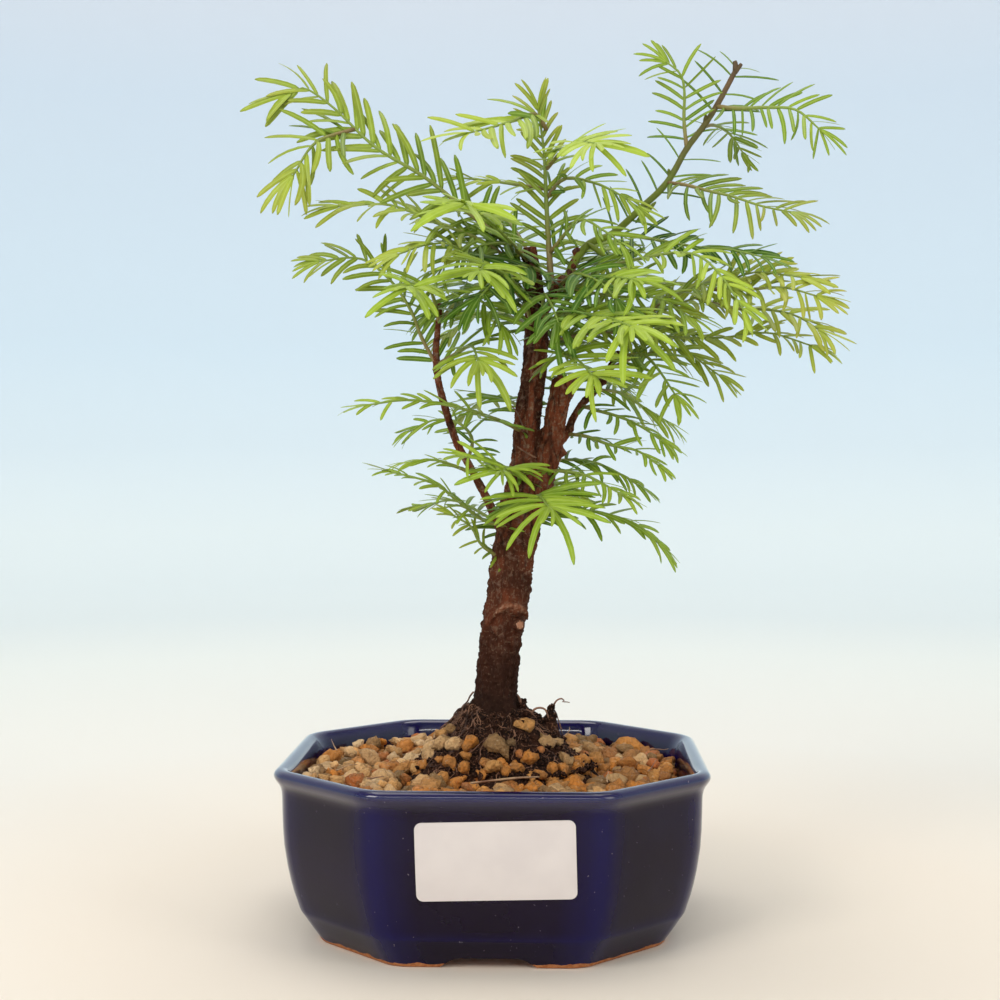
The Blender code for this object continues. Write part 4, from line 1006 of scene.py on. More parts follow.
# %% Bark relief
# Place, spread and height of each knot
KNOTS = (
    ((5, -8, 138), 1.5, 1.0), ((9, -9, 135), 1.6, 1.1), ((16, -6, 133), 1.5, 1.3),
    ((23.6, -3, 163.5), 1.35, 2.3), ((-2, -6, 128), 1.4, 0.8), ((13.5, -4, 126), 1.2, 0.7),
    ((2, -8, 138), 1.3, 0.9), ((12.5, -8, 138.5), 1.4, 1.0), ((7, -8.5, 133), 1.2, 0.8),
    ((7.6, -7, 108), 1.3, 0.9), ((5.2, -7.6, 106), 1.1, 0.8),
    ((12, -3, 121), 1.2, 0.8), ((-5.5, -2, 97), 1.3, 0.6), ((8.5, -1.5, 116), 1.3, 0.8),
    ((-6, -1, 84), 1.4, 0.7), ((-15, -9.5, 173), 0.9, 0.6), ((-20, -9.5, 192), 0.9, 0.7),
    ((16.5, -3.5, 187), 1.1, 0.6), ((10, -4.5, 178), 1.0, 0.6), ((27, 0, 171.5), 1.0, 0.7),
)
# Place, way it faces and radius of each pruned end
CUT_ENDS = (
    ((9, -8.8, 104), (0.25, -0.95, 0.15), 1.3), ((12, 0, 235), (-0.1, 0, 1), 2.0),
    ((43, 10, 199), (0.45, 0.2, 0.87), 1.1), ((-19, -6, 215), (0, 0.2, 1), 0.8),
)
# How far a pruned end reaches into the wood, and how much of the relief it keeps
CUT_DEPTH, CUT_RELIEF = 0.45, 0.15
# How closely plates and flakes follow each other along x, y and z
PLATES = (0.30, 0.30, 0.075)
FLAKES = (0.75, 0.75, 0.30)
CRACK_WIDTH = 0.10
# The bark is young above this height, and old this far below it
OLD_BARK, OLD_OVER = 138, 20
# The wound on the front of the trunk, and the top of the cut limb with its roughness
WOUND_FRONT, WOUND_HEIGHTS, WOUND_WIDTH = -6.0, (108, 113), 1.7
STUB_HEIGHT, STUB_LEFT, STUB_OVER, STUB_ROUGH = 185, 19, 3, 1.5


def search_tree(places):
    """A tree that finds the nearest of a list of places."""
    finder = kdtree.KDTree(len(places))
    for index, place in enumerate(places):
        finder.insert(place, index)
    finder.balance()
    return finder


samples = [(point, redness) for line, (_, redness) in zip(limb_lines, LIMBS) for point in line]
limb_finder = search_tree([point[:3] for point, _ in samples])


def limb_near(place):
    """Radius and redness of the limb whose skin is nearest to a place."""
    nearest = min(limb_finder.find_n(place, 6),
                  key=lambda found: found[2] - samples[found[1]][0][3])
    ring, redness = samples[nearest[1]]
    return ring[3], redness


def noise_at(place, pitches):
    """Noise with its own scale along each axis."""
    return noise.noise(Vector([part * pitch for part, pitch in zip(place, pitches)]))


def bark_push(place, thick):
    """How far the bark stands out at a place, and how deep in a crack it lies."""
    plate, flake = noise_at(place, PLATES), noise_at(place, FLAKES)
    lump, fine = noise.noise(place * 0.42), noise.noise(place * 1.5)
    old = unit((OLD_BARK - place.z) / OLD_OVER)
    crack = sum(share * max(0.0, 1 - abs(form) / CRACK_WIDTH)
                for share, form in ((1.0, plate), (0.5, flake)))
    crack *= 1 - 0.6 * old
    size = min(1.0, thick / 6.0)
    # Young bark stands in plates, and old bark is rather lumpy and rough
    push = size * ((0.9 - 0.55 * old) * plate + 0.42 * flake - 0.45 * crack + 0.8 * old * lump)
    push += (0.15 + 0.16 * old) * (0.4 + size) * fine
    for knot, spread, lift in KNOTS:
        away = (place - Vector(knot)).length_squared
        push += lift * math.exp(-away / (spread * spread))
    push += 0.66 * max(0.0, noise.noise(place * 0.95) - 0.15) * min(1.0, thick / 3.0)
    return push, crack


count = len(wood_mesh.vertices)
normals = np.zeros(count * 3)
wood_mesh.vertex_normals.foreach_get("vector", normals)
cut_ends = [(Vector(place), Vector(way).normalized(), size) for place, way, size in CUT_ENDS]
wound_lip = [Vector(ring[:3]) for ring in smooth_line(CALLUS_LIP, LIMB_STEP)]
pushes, redness, cracks, fresh_cut = (np.zeros(count) for _ in range(4))
for index, spot in enumerate(Vector(place) for place in points_of(wood_mesh)):
    thick, redness[index] = limb_near(spot)
    pushes[index], cracks[index] = bark_push(spot, thick)
    for place, way, size in cut_ends:
        across = spot - place
        above = across.dot(way)
        if above > -CUT_DEPTH and (across - above * way).length < size:
            fresh_cut[index] = 1.0
            pushes[index] *= CUT_RELIEF
    if spot.y < WOUND_FRONT and WOUND_HEIGHTS[0] < spot.z < WOUND_HEIGHTS[1]:
        healing = unit(WOUND_WIDTH - min((place - spot).length for place in wound_lip))
        fresh_cut[index] = 0.6 * healing * (0.7 + 1.6 * noise.noise(spot * 1.3))
    if spot.z > STUB_HEIGHT and spot.x > STUB_LEFT:
        rise = min(1.0, (spot.z - STUB_HEIGHT) / STUB_OVER)
        pushes[index] += STUB_ROUGH * noise.noise(spot * 0.55) * rise
moved = points_of(wood_mesh) + normals.reshape(-1, 3) * pushes[:, None]
wood_mesh.vertices.foreach_set("co", moved.ravel())
wood_mesh.update()
paint(wood_mesh, "bark_marks", np.stack(
    [redness, fresh_cut, np.clip(cracks, 0, 1), np.ones(count)], axis=1))
shaded(wood_mesh)
print(f"bark pushed from {pushes.min():.1f} to {pushes.max():.1f} mm")

# %% [markdown]
# ## Bark
#
# Old bark of this tree is brown and splits into thin upright strips, with rust red
# showing where a strip has come off. Pale specks of dried lime and lichen sit on the
# raised parts, and the bark darkens towards the foot as painted shade under the crown.
# The cracks painted on the mesh are darkened as painted shade, so that colour and
# relief fall in the same places.

# %% Bark material
bark = Surface("flaking_bark", 0.8, specular=0.06)
red, cut, crack = bark.channels("bark_marks")
strips = bark.grain(420.0, 0.25, stretch=4.0)
worn = bark.patches(120.0, 0.42, 0.66, detail=5.0)
specks = bark.patches(1100.0, 0.56, 0.70, detail=5.0)
dust = bark.patches(480.0, 0.53, 0.66, detail=9.0)
# Redder and dustier with height, in metres, and lighter with height as painted light
red_patch = bark.times(worn, bark.between(bark.height(0.095, 0.135), 0.16, 0.60))
pale_strips_and_light = bark.times(strips, bark.between(bark.height(0.070, 0.130), 0.22, 0.42))
grey_dust = bark.times(dust, bark.between(bark.height(0.085, 0.115), 0.10, 0.62))
rusty = bark.mix(bark.plus(red, red_patch), (0.011, 0.0034, 0.0022), (0.190, 0.046, 0.019))
# Pale upright strips, made stronger up the trunk as painted light
strips_and_painted_light = bark.mix(pale_strips_and_light, rusty, (0.108, 0.046, 0.026))
grey = bark.mix(grey_dust, strips_and_painted_light, (0.17, 0.105, 0.075))
sharp = bark.math("SUBTRACT", bark.grain(900.0, 0.0, stretch=2.6), 0.56)
flecks = bark.times(bark.between(sharp, 0.0, 9.0), bark.times(red, 0.9))
lime = bark.times(specks, bark.between(worn, 0.40, 0.95))
speckled = bark.mix(bark.math("MAXIMUM", flecks, lime), grey, (0.26, 0.16, 0.10))
# Painted shade: the cracks are darkened
dark = bark.mix(bark.times(crack, 0.75), speckled, (0.012, 0.006, 0.004))
# Painted shade under the crown: the bark darkens towards the foot
shaded_foot = bark.mix(bark.height(0.066, 0.116), (0.020, 0.0095, 0.0065), dark)
open_wood = bark.mix(specks, (0.36, 0.17, 0.10), (0.55, 0.36, 0.25))
bark.give("Base Color", bark.mix(cut, shaded_foot, open_wood))
bark.roughness(strips, 0.62, 0.92)
crust = bark.grain(850.0, 0.5, stretch=1.3)
bark.bump(bark.plus(bark.times(strips, 0.4), bark.times(crust, 0.6)), 0.0012)
finished("trunk_wood", wood_mesh, [bark], ["trunk"])

# %% [markdown]
# ## Rootlets, straw and dead hairs
#
# Fine roots hang out of the peat, a straw lies on the gravel, and a few dead hairs
# stand off the wood. They are too thin to sculpt. Each is a thread: a wandering line
# with a radius, made into a tube, and all threads of one kind are one piece.

# %% Threads
THREAD_STEPS = 8
ROOTLET_COUNT = 420
ROOTLET_LENGTHS, ROOTLET_RADII, ROOTLET_BEND = (3, 10), (0.10, 0.34), 0.5
# Every third root lies on the left of the mound, between these angles
LEFT_ARC = (2.6, 4.2)


def wandering(start, way, length, radius, rng, bend, hug=None):
    """A thread that turns a little at every step; hug keeps it on a surface."""
    place, heading = Vector(start), Vector(way).normalized()
    strand = []
    for step in range(THREAD_STEPS + 1):
        strand.append((*place, radius * (1 - 0.7 * step / THREAD_STEPS)))
        heading = (heading + random_vector(rng) * bend).normalized()
        place = place + heading * length / THREAD_STEPS
        if hug is not None:
            place.z = 0.5 * place.z + 0.5 * (hug(place.x, place.y) + rng.uniform(0, 1.0))
    return strand


root_rng = random.Random(8)
rootlets = []
for index in range(ROOTLET_COUNT):
    arc = (0, 2 * math.pi) if index % 3 else LEFT_ARC
    turn = root_rng.uniform(*arc)
    share = root_rng.uniform(0.3, 1.0)
    ray = (math.cos(turn), math.sin(turn))
    x, y = (MOUND_MIDDLE[axis] + MOUND_LEAN[axis] * (1 - share)
            + MOUND_RADII[axis] * share * ray[axis] for axis in range(2))
    way = (ray[0] + root_rng.uniform(-1, 1), ray[1] + root_rng.uniform(-1, 1), 0)
    rootlets.append(wandering(
        (x, y, mound_height(x, y)), way, root_rng.uniform(*ROOTLET_LENGTHS),
        root_rng.uniform(*ROOTLET_RADII), root_rng, ROOTLET_BEND, mound_height))
STANDING_HAIRS = (
    ((-7.4, -3, 80, 0.3), (-8.6, -3, 78.5, 0.3), (-9.6, -3, 76.5, 0.28), (-11, -3.2, 75, 0.28),
     (-11.4, -3.2, 72.5, 0.3), (-11.3, -3.4, 69, 0.35)),
    ((20.3, -2, 73.5, 0.45), (20.8, -2, 75.8, 0.35), (22, -2, 77.2, 0.28),
     (23.4, -2.2, 77.6, 0.3), (24.2, -2.4, 77.0, 0.28), (23.6, -2.6, 76.6, 0.22),
     (25.2, -2.6, 76.5, 0.18), (26.2, -2.6, 76.3, 0.12)),
    ((12.4, -4, 70.5, 0.4), (13.2, -4, 73.4, 0.4), (15.2, -4, 74.6, 0.38), (17.6, -4, 74.0, 0.35),
     (18.8, -4, 71, 0.3)),
    ((9.5, -1, 75, 0.7), (8.6, -1.2, 77.4, 0.5), (7.8, -1.4, 79, 0.2)),
    ((4, -6.2, 181, 0.18), (6, -6.2, 179.6, 0.2), (8, -6, 177, 0.22), (9.5, -5.5, 173.5, 0.25),
     (10.6, -4.4, 170, 0.3)),
    ((8, -7.2, 165.5, 0.25), (11, -6.6, 163.5, 0.28), (14.5, -6.2, 161.6, 0.32)),
    ((-9, -7.6, 160, 0.5), (-10.2, -8.6, 160.6, 0.4), (-10.8, -9.2, 160.8, 0.2)),
)
rootlets += [smooth_line(hair, 0.8) for hair in STANDING_HAIRS]

root_skin = two_toned("root_skin", 0.75, (260.0, 0.35, 0.65),
                      ((0.050, 0.020, 0.012), (0.29, 0.14, 0.08)), (0.6, 0.85))
finished("rootlets", tubes(rootlets), [root_skin])

# %% Straw and fallen needles on the gravel
STRAW = ((-6, -51, 57.4, 0.35), (2, -49, 58.0, 0.4), (9, -46, 58.2, 0.4), (16, -43, 58.0, 0.25))
FALLEN = (
    (52, -28), (55, 12), (-57, 8), (-40, -44), (38, -47), (-20, 44), (24, 40), (-52, -30),
)
FALLEN_HEIGHT = 57.3
FALLEN_LENGTHS, FALLEN_RADIUS, FALLEN_BEND = (6, 11), 0.3, 0.12
straw_rng = random.Random(44)
straws = [smooth_line(STRAW, 1.5)]
for x, y in FALLEN:
    turn = straw_rng.uniform(0, math.pi)
    straws.append(wandering((x, y, FALLEN_HEIGHT), (math.cos(turn), math.sin(turn), 0.05),
                            straw_rng.uniform(*FALLEN_LENGTHS), FALLEN_RADIUS, straw_rng,
                            FALLEN_BEND))
dry_straw = two_toned("dry_straw", 0.6, (150.0, 0.35, 0.65),
                      ((0.20, 0.085, 0.045), (0.50, 0.31, 0.17)), (0.5, 0.75))
finished("straw", tubes(straws), [dry_straw])

# %% [markdown]
# ## The leader
#
# One long shoot of this year climbs to the right. It is green where it leaves the
# wood and browns towards its tip, where two side buds were nipped off. Along it sit
# flat green buds and single long needles. Its stem is a tube, and the buds are coarse
# spheres squashed to leaf-like scales.

# %% Leader stem and buds
LEADER = (
    (25.5, 0, 225.5, 1.3), (27.5, 1, 230, 1.4), (33, 2, 236.5, 1.3), (41, 3, 240, 1.25),
    (51, 4, 249, 1.2), (60, 5, 258, 1.15), (67, 6, 270, 1.1), (73, 7, 278, 1.05),
    (78, 8, 286, 1.0), (84.4, 8.9, 298, 0.9),
)
LEADER_NUBS = (
    ((84, 8.8, 297.5, 0.9), (84.2, 8.8, 299.6, 0.95), (83.9, 8.8, 301, 0.7)),
    ((84, 8.8, 297, 0.9), (85.4, 8.8, 298.8, 0.8), (86.3, 8.8, 300, 0.6)),
)
# Place, way it points, length and width of each bud
BUDS = (
    ((35.5, 0.6, 234), (0.75, -0.2, -0.6), 4.6, 1.9),
    ((52.5, 2.6, 247.3), (0.7, -0.2, 0.7), 5.2, 1.6),
    ((61, 5, 260.5), (-0.2, -0.3, 0.9), 2.4, 0.9),
    ((73.5, 7, 280), (0.1, -0.3, 0.9), 2.2, 0.8),
)
# The stem browns from this height, over this distance
RIPE_FROM, RIPE_OVER = 240, 66
leader_line = smooth_line(LEADER, 2.0)
leader_bm = bmesh.new()
leader_bm.from_mesh(tubes([leader_line] + [smooth_line(nub, 0.7) for nub in LEADER_NUBS], 3))
for place, way, length, width in BUDS:
    turn = Vector(way).to_track_quat("Z", "Y").to_matrix().to_4x4()
    shape = Matrix.Diagonal((width, width * 0.55, length, 1.0))
    bmesh.ops.create_uvsphere(leader_bm, u_segments=12, v_segments=8, radius=1.0,
                              matrix=Matrix.Translation(place) @ turn @ shape)
for vert in leader_bm.verts:
    vert.co += vert.normal * 0.09 * noise.noise(vert.co * 0.8)
leader_mesh = mesh_of(leader_bm)
paint(leader_mesh, "ripe", np.clip((points_of(leader_mesh)[:, 2] - RIPE_FROM) / RIPE_OVER, 0, 1))

rind = Surface("green_skin", 0.5, specular=0.25)
blotches = rind.times(rind.patches(130.0, 0.4, 0.75, detail=4.0), 0.22)
skin_colour = rind.ramp(rind.plus(rind.read("ripe"), blotches), (
    (0.0, (0.20, 0.27, 0.022)), (0.35, (0.100, 0.130, 0.016)), (0.62, (0.095, 0.076, 0.022)),
    (0.85, (0.13, 0.062, 0.032)), (1.0, (0.085, 0.040, 0.026)),
))
ridges = rind.grain(700.0, 0.1, stretch=3.0)
rind.give("Base Color", rind.mix(rind.times(ridges, 0.22), skin_colour, (0.25, 0.24, 0.06)))
rind.roughness(ridges, 0.38, 0.62)
rind.bump(ridges, 0.0002, 0.6)
finished("leader_stem", leader_mesh, [rind], ["leader"])

# %% [markdown]
# ## One needle
#
# A needle of this tree is flat, soft and blunt, with a fine rib along its middle. It
# could be a card with a picture of a leaf, but a card is empty from its edge. Here it
# is a slim closed blade: a four-sided bar, cut into lengths, widened and bent. Six
# bends to each hand are made once and copied, so each blade has about two dozen faces.

# %% Needle blades
BLADE_STATIONS = (0.0, 0.09, 0.28, 0.52, 0.76, 0.91, 1.0)
BLADE_WIDTHS = (0.30, 0.82, 1.0, 1.0, 0.96, 0.76, 0.24)
BLADE_WIDTH = 0.12
BLADE_THICKNESS = 0.022
# How far the tip of a blade droops and swings to a side
BENDS = ((0.06, 0.07), (0.12, 0.13), (0.20, 0.04), (0.28, 0.12), (0.10, 0.20), (0.16, 0.28))
# The bends that needles have where they arch
ARCHED = (1, 4, 5)


def blade(droop, sweep):
    """A flat needle along +Y, one unit long, drooping towards -Z."""
    bm = bmesh.new()
    upright = Matrix.Translation((0, 0.5, 0)) @ Matrix.Rotation(-math.pi / 2, 4, "X")
    bmesh.ops.create_cone(bm, cap_ends=True, segments=4, radius1=1.0, radius2=1.0, depth=1.0,
                          matrix=upright)
    sides = [edge for edge in bm.edges if abs(edge.verts[0].co.y - edge.verts[1].co.y) > 0.5]
    bmesh.ops.subdivide_edges(bm, edges=sides, cuts=len(BLADE_STATIONS) - 2)
    own = bm.verts.layers.float_color.new("own")
    even = np.linspace(0, 1, len(BLADE_STATIONS))
    for vert in bm.verts:
        along = float(np.interp(vert.co.y, even, BLADE_STATIONS))
        width = float(np.interp(along, BLADE_STATIONS, BLADE_WIDTHS))
        vert[own] = (0.0, 0.0, along, abs(vert.co.x))
        vert.co.x = vert.co.x * width * BLADE_WIDTH / 2 + sweep * along ** 2
        vert.co.z = vert.co.z * width * BLADE_THICKNESS / 2 - droop * along ** 2
        vert.co.y = along * (1 - 0.4 * (droop + sweep * sweep) * along)
    for edge in bm.edges:
        edge.smooth = not all(vert[own][3] > 0.9 for vert in edge.verts)
    bmesh.ops.recalc_face_normals(bm, faces=bm.faces)
    return mesh_of(bm)


def blade_marks(shape):
    """The marks of a blade's points: tone, bronze, place along it and side."""
    marks = np.zeros(len(shape.vertices) * 4, np.float32)
    shape.attributes["own"].data.foreach_get("color", marks)
    return marks.reshape(-1, 4)


BLADES = [blade(droop, hand * sweep) for hand in (-1, 1) for droop, sweep in BENDS]
BLADE_MARKS = [blade_marks(shape) for shape in BLADES]
print("one blade has", len(BLADES[0].polygons), "faces")


def add_needle(bm, root, way, upper, length, tone, bronze, rng, slim, arched=False):
    """Add one blade to a shoot, growing from root along way with its face to upper."""
    side = way.cross(upper).normalized()
    face = side.cross(way)
    twist = Matrix.Rotation(rng.gauss(0, 0.22 if arched else 0.42), 4, "Y")
    wide = slim * rng.uniform(0.85, 1.1) * (0.75 + 0.070 * length) / length / BLADE_WIDTH
    turn = Matrix((side, way, face)).transposed().to_4x4()
    matrix = (Matrix.Translation(root) @ turn @ twist
              @ Matrix.Diagonal((length * wide, length, length, 1.0)))
    kind = rng.choice(ARCHED) if arched else rng.randrange(len(BENDS))
    kind += len(BENDS) if side.z < 0 else 0
    marks = BLADE_MARKS[kind].copy()
    marks[:, :2] = (tone, bronze)
    add_copy(bm, BLADES[kind], matrix, marks)


# %% [markdown]
# ## Needle green
#
# Young needles are bright yellow-green and old ones deep green, and sun has bronzed
# the outer shoots. Each blade carries its own tone and bronze, and the place along it:
# bronze starts half way and is fullest at the tip. The rib along the middle is lighter.

# %% Needle material
leaf = Surface("needle_green", 0.42, specular=0.24)
tone, bronze, along = leaf.channels("own")
veined = leaf.patches(330.0, 0.3, 0.75, detail=4.0)
greens = leaf.ramp(leaf.plus(tone, leaf.times(veined, 0.12)), (
    (0.0, (0.019, 0.062, 0.006)), (0.25, (0.056, 0.150, 0.009)), (0.5, (0.140, 0.245, 0.014)),
    (0.75, (0.245, 0.36, 0.022)), (1.0, (0.37, 0.495, 0.040)),
))
bronzed = leaf.mix(leaf.times(bronze, leaf.between(along, 0.45, 1.0)), greens,
                   (0.42, 0.33, 0.06))
rib = leaf.math("LESS_THAN", leaf.read("own", "Alpha"), 0.22)
leaf.give("Base Color", leaf.mix(leaf.times(rib, 0.25), bronzed, (0.55, 0.70, 0.18)))
leaf.roughness(veined, 0.34, 0.52)
print("needle green in", len(leaf.tree.nodes), "nodes")

# %% [markdown]
# ## The leafy shoots
#
# A shoot is a thin stem with its needles in two flat rows, like a feather. They stand
# wide near its base, lean forward towards its tip and end in a small tuft. Fifty such
# shoots make the crown, and thirteen short ones fill its inside. Each of the fifty is
# grown along the line that its plain solid follows, so the table holds only the line,
# the way the flat side looks, the needle length, and how bright and bronzed it is.

# %% Where the shoots run
LEAN = (0.0, -0.6, 0.8)
TILTED = (0.0, -0.85, 0.53)
FRONT = (0.0, -1.0, 0.25)
LEVEL = (0.0, -0.3, 0.95)
SKY = (0.0, 0.0, 1.0)
SHOOTS = (
    ("crown_left", ((12, 0, 231), (-5, -6, 243), (-23, -12, 257), (-40, -16, 267), (-54, -18, 280),
     (-63.5, -18, 286.5), (-68.5, -20, 284.5)), TILTED, 15.5, 0.61, 0.27),
    ("crown_left_side", ((-47, -17, 273), (-59, -25, 267), (-66, -30, 255)),
     TILTED, 15, 0.74, 0.38),
    ("left_upper", ((14, 0, 224), (-4, -9, 236), (-21, -15, 242), (-35, -19, 247),
     (-52, -23, 246)), LEAN, 12, 0.72, 0.32),
    ("left_middle", ((14, -1, 214), (-11, -17, 232), (-21, -24, 233), (-31, -30, 229)),
     LEAN, 12, 0.8, 0.35),
    ("left_branch_long", ((-19, -9, 192), (-25, -8, 203), (-29, -9, 213), (-36, -10, 223),
     (-46, -11, 230), (-60, -12, 229)), TILTED, 11, 0.58, 0.25),
    ("front_high", ((12.6, 0, 229), (4, -14, 237), (-3, -27, 242), (-8, -48, 243)),
     LEAN, 15, 0.85, 0),
    ("front_middle", ((14, 0, 205), (8, -15, 220), (-1, -31, 225), (-3, -50, 221)),
     LEAN, 15, 0.76, 0),
    ("front_left", ((-19, -7, 208), (-20, -16, 215), (-22, -28, 219), (-26, -44, 217)),
     LEAN, 13, 0.78, 0),
    ("centre", ((20, -4, 218), (19, 1, 231), (18, 0, 248), (17, -2, 268), (15, -4, 282)),
     FRONT, 11, 0.62, 0.4),
    ("centre_front", ((18, -1, 262), (23, -10, 266), (28, -22, 267), (34, -36, 264)),
     LEAN, 13, 1, 0.08),
    ("centre_droop", ((18, 0, 252), (24, -4, 258), (34, -8, 256), (42, -10, 252), (49, -12, 247)),
     LEAN, 10, 0.72, 0.12),
    ("leader_up", ((67, 6, 270), (66, 6, 280), (66, 4, 289), (64.5, 2, 295), (59.5, 1, 299)),
     FRONT, 11, 0.58, 0.12),
    ("leader_right", ((77.5, 8, 285), (85, 2, 283), (94, -4, 282), (103, -9, 280),
     (110.5, -14, 272)), TILTED, 11, 0.58, 0.08),
    ("leader_middle", ((60, 5, 258), (66, -2, 256), (73, -8, 253), (81, -14, 250), (90, -19, 246),
     (99, -25, 243)), LEAN, 12, 0.42, 0.4),
    ("leader_low", ((41, 3, 240), (52, -1, 238), (61, -3, 236), (71, -5, 234), (80, -8, 233),
     (91, -12, 230)), LEAN, 11, 0.25, 0),
    ("arch_right", ((26, 0, 226), (41, -7, 228), (52, -11, 230), (62, -15, 231), (70, -19, 229),
     (77, -24, 221), (83, -30, 210)), LEAN, 11, 0.84, 0.08),
    ("right_back", ((14, 0, 217), (32, 9, 223), (48, 14, 225), (64, 18, 224), (79, 22, 223)),
     SKY, 11, 0.5, 0.15),
    ("far_right", ((14, 0, 209), (37, 3, 212), (52, 4, 211), (63, 3, 215), (74, 0, 219),
     (88, -7, 225), (104, -16, 222.5)), LEAN, 12, 0.91, 0.45),
    ("far_right_front", ((76, -1, 220), (86, -10, 219), (98, -16, 219), (108.5, -21.5, 215.5)),
     LEAN, 12, 0.94, 0.55),
    ("far_right_low", ((70, 2, 217.5), (82, 4, 214), (95, 0, 213), (104, -4, 210.5),
     (111, -8, 205.5)), LEAN, 12, 0.95, 0.5),
    ("right_lower", ((14, 0, 201), (30, 7, 205), (46, 11, 206), (67, 9, 204), (82, 5, 204),
     (95, 0, 205), (109, -7, 200)), LEAN, 11, 0.78, 0.38),
    ("front_right_high", ((15, -6.5, 203), (24, -19, 210), (36, -35, 208), (45, -54, 203)),
     LEAN, 16, 0.82, 0),
    ("front_right_low", ((13, -6.2, 190), (22, -18, 196), (28, -32, 194), (33, -48, 188)),
     LEAN, 14, 0.84, 0.05),
    ("twig_front", ((42, 9.5, 197), (51, 3, 198), (56, -4, 193), (62, -12, 183)),
     LEAN, 12, 0.75, 0.05),
    ("twig_right", ((40, 8.5, 193), (51, 14, 198), (66, 17, 200), (80, 17, 191)),
     LEAN, 11, 0.7, 0.3),
    ("twig_back", ((35, 6.2, 185.6), (44, 15, 185), (53, 22, 180), (62, 29, 175)),
     LEAN, 11, 0.72, 0.1),
    ("twig_low", ((30, 4, 180), (36, -2, 178), (44, -6, 175.5), (51, -10, 172), (58, -13, 167)),
     LEVEL, 8.5, 0.7, 0.05),
    ("limb_right", ((25, 0, 170), (32, -6, 169), (40, -11, 166), (49, -15, 164), (56, -19, 159)),
     LEVEL, 8, 0.66, 0.05),
    ("limb_back", ((18.2, -3, 160), (26, 5, 161), (35, 8, 160), (44, 10, 156), (52, 10, 151)),
     LEVEL, 8, 0.52, 0.05),
    ("limb_front", ((17.5, -3, 157), (24, -13, 157), (32, -18, 155.5), (44, -24, 149)),
     LEVEL, 8.5, 0.72, 0.08),
    ("hanging", ((-19, -9, 194), (-13, -14, 197), (-7, -24, 199), (-4, -40, 193)),
     LEAN, 14, 0.75, 0.18),
    ("left_arch", ((11, 0, 170), (3, -12, 174), (-6, -18, 177), (-18, -21, 180), (-30, -23, 181),
     (-43, -27, 179)), LEVEL, 8.5, 0.74, 0.08),
    ("left_inner", ((-9.5, -7, 160), (-8, 0, 168), (-13, 4, 174), (-22, 6, 175), (-31, 8, 171)),
     LEAN, 8, 0.55, 0.05),
    ("left_low_front", ((-7, -6, 156), (-14, -10, 159), (-21, -12, 161), (-30, -14, 160)),
     LEVEL, 7.5, 0.78, 0.05),
    ("left_low", ((8, 0, 137), (-3, -11, 140), (-12, -17, 147), (-20, -21, 153), (-34, -26, 157)),
     LEVEL, 9, 0.73, 0.05),
    ("left_lowest", ((6, 0, 124), (-4, -6, 131), (-8, -10, 138), (-14, -13, 142)),
     LEAN, 7.5, 0.85, 0.3),
    ("near_high", ((10, 0, 153), (7.5, -14, 157), (6, -26, 158.5), (4, -38, 157.5)),
     LEAN, 12, 0.74, 0),
    ("near_low", ((9, 0, 143), (14, -18, 148), (16, -34, 149), (19, -53, 146)), LEAN, 17, 0.69, 0),
    ("right_low", ((9, 0, 139), (24, 7, 143), (36, 9, 142.5), (50, 12, 138), (58, 13, 131)),
     LEVEL, 11, 0.64, 0.05),
    ("inner_front", ((20, -4, 216), (28, -12, 220), (38, -22, 222), (47, -34, 220)),
     LEAN, 12, 0.72, 0),
    ("inner_left", ((14, 0, 211), (3, 8, 219), (-12, 14, 224), (-28, 18, 223)),
     SKY, 12, 0.5, 0.05),
    ("back_crown", ((12.5, 0, 232), (4, 16, 246), (-10, 32, 255), (-24, 46, 253)),
     SKY, 12, 0.65, 0.15),
    ("back_right_crown", ((26, 0, 225), (32, 18, 236), (38, 36, 241), (44, 56, 236)),
     SKY, 13, 0.68, 0.12),
    ("back_left", ((14, 0, 206), (4, 20, 213), (-8, 38, 215), (-21, 55, 209)),
     SKY, 13, 0.58, 0.12),
    ("back_right", ((14, 0, 199), (32, 20, 208), (48, 36, 213), (65, 52, 209)),
     SKY, 13, 0.6, 0.15),
    ("back_limb", ((24, -3, 184), (31, 16, 191), (39, 34, 193), (47, 51, 187)),
     SKY, 12, 0.62, 0.05),
    ("back_middle", ((11.5, 0, 176), (5, 18, 182), (-4, 34, 184), (-14, 50, 178)),
     SKY, 12, 0.55, 0.05),
    ("back_low", ((9, 0, 145), (15, 18, 150), (21, 34, 153), (27, 51, 148)), SKY, 12, 0.62, 0.05),
    ("back_low_left", ((8, 0, 134), (-4, 14, 141), (-16, 27, 146), (-28, 38, 144)),
     SKY, 11, 0.55, 0.05),
    ("leader_back", ((73, 7, 278), (78, 16, 280), (84, 26, 279), (90, 36, 274)),
     SKY, 11, 0.52, 0.1),
)
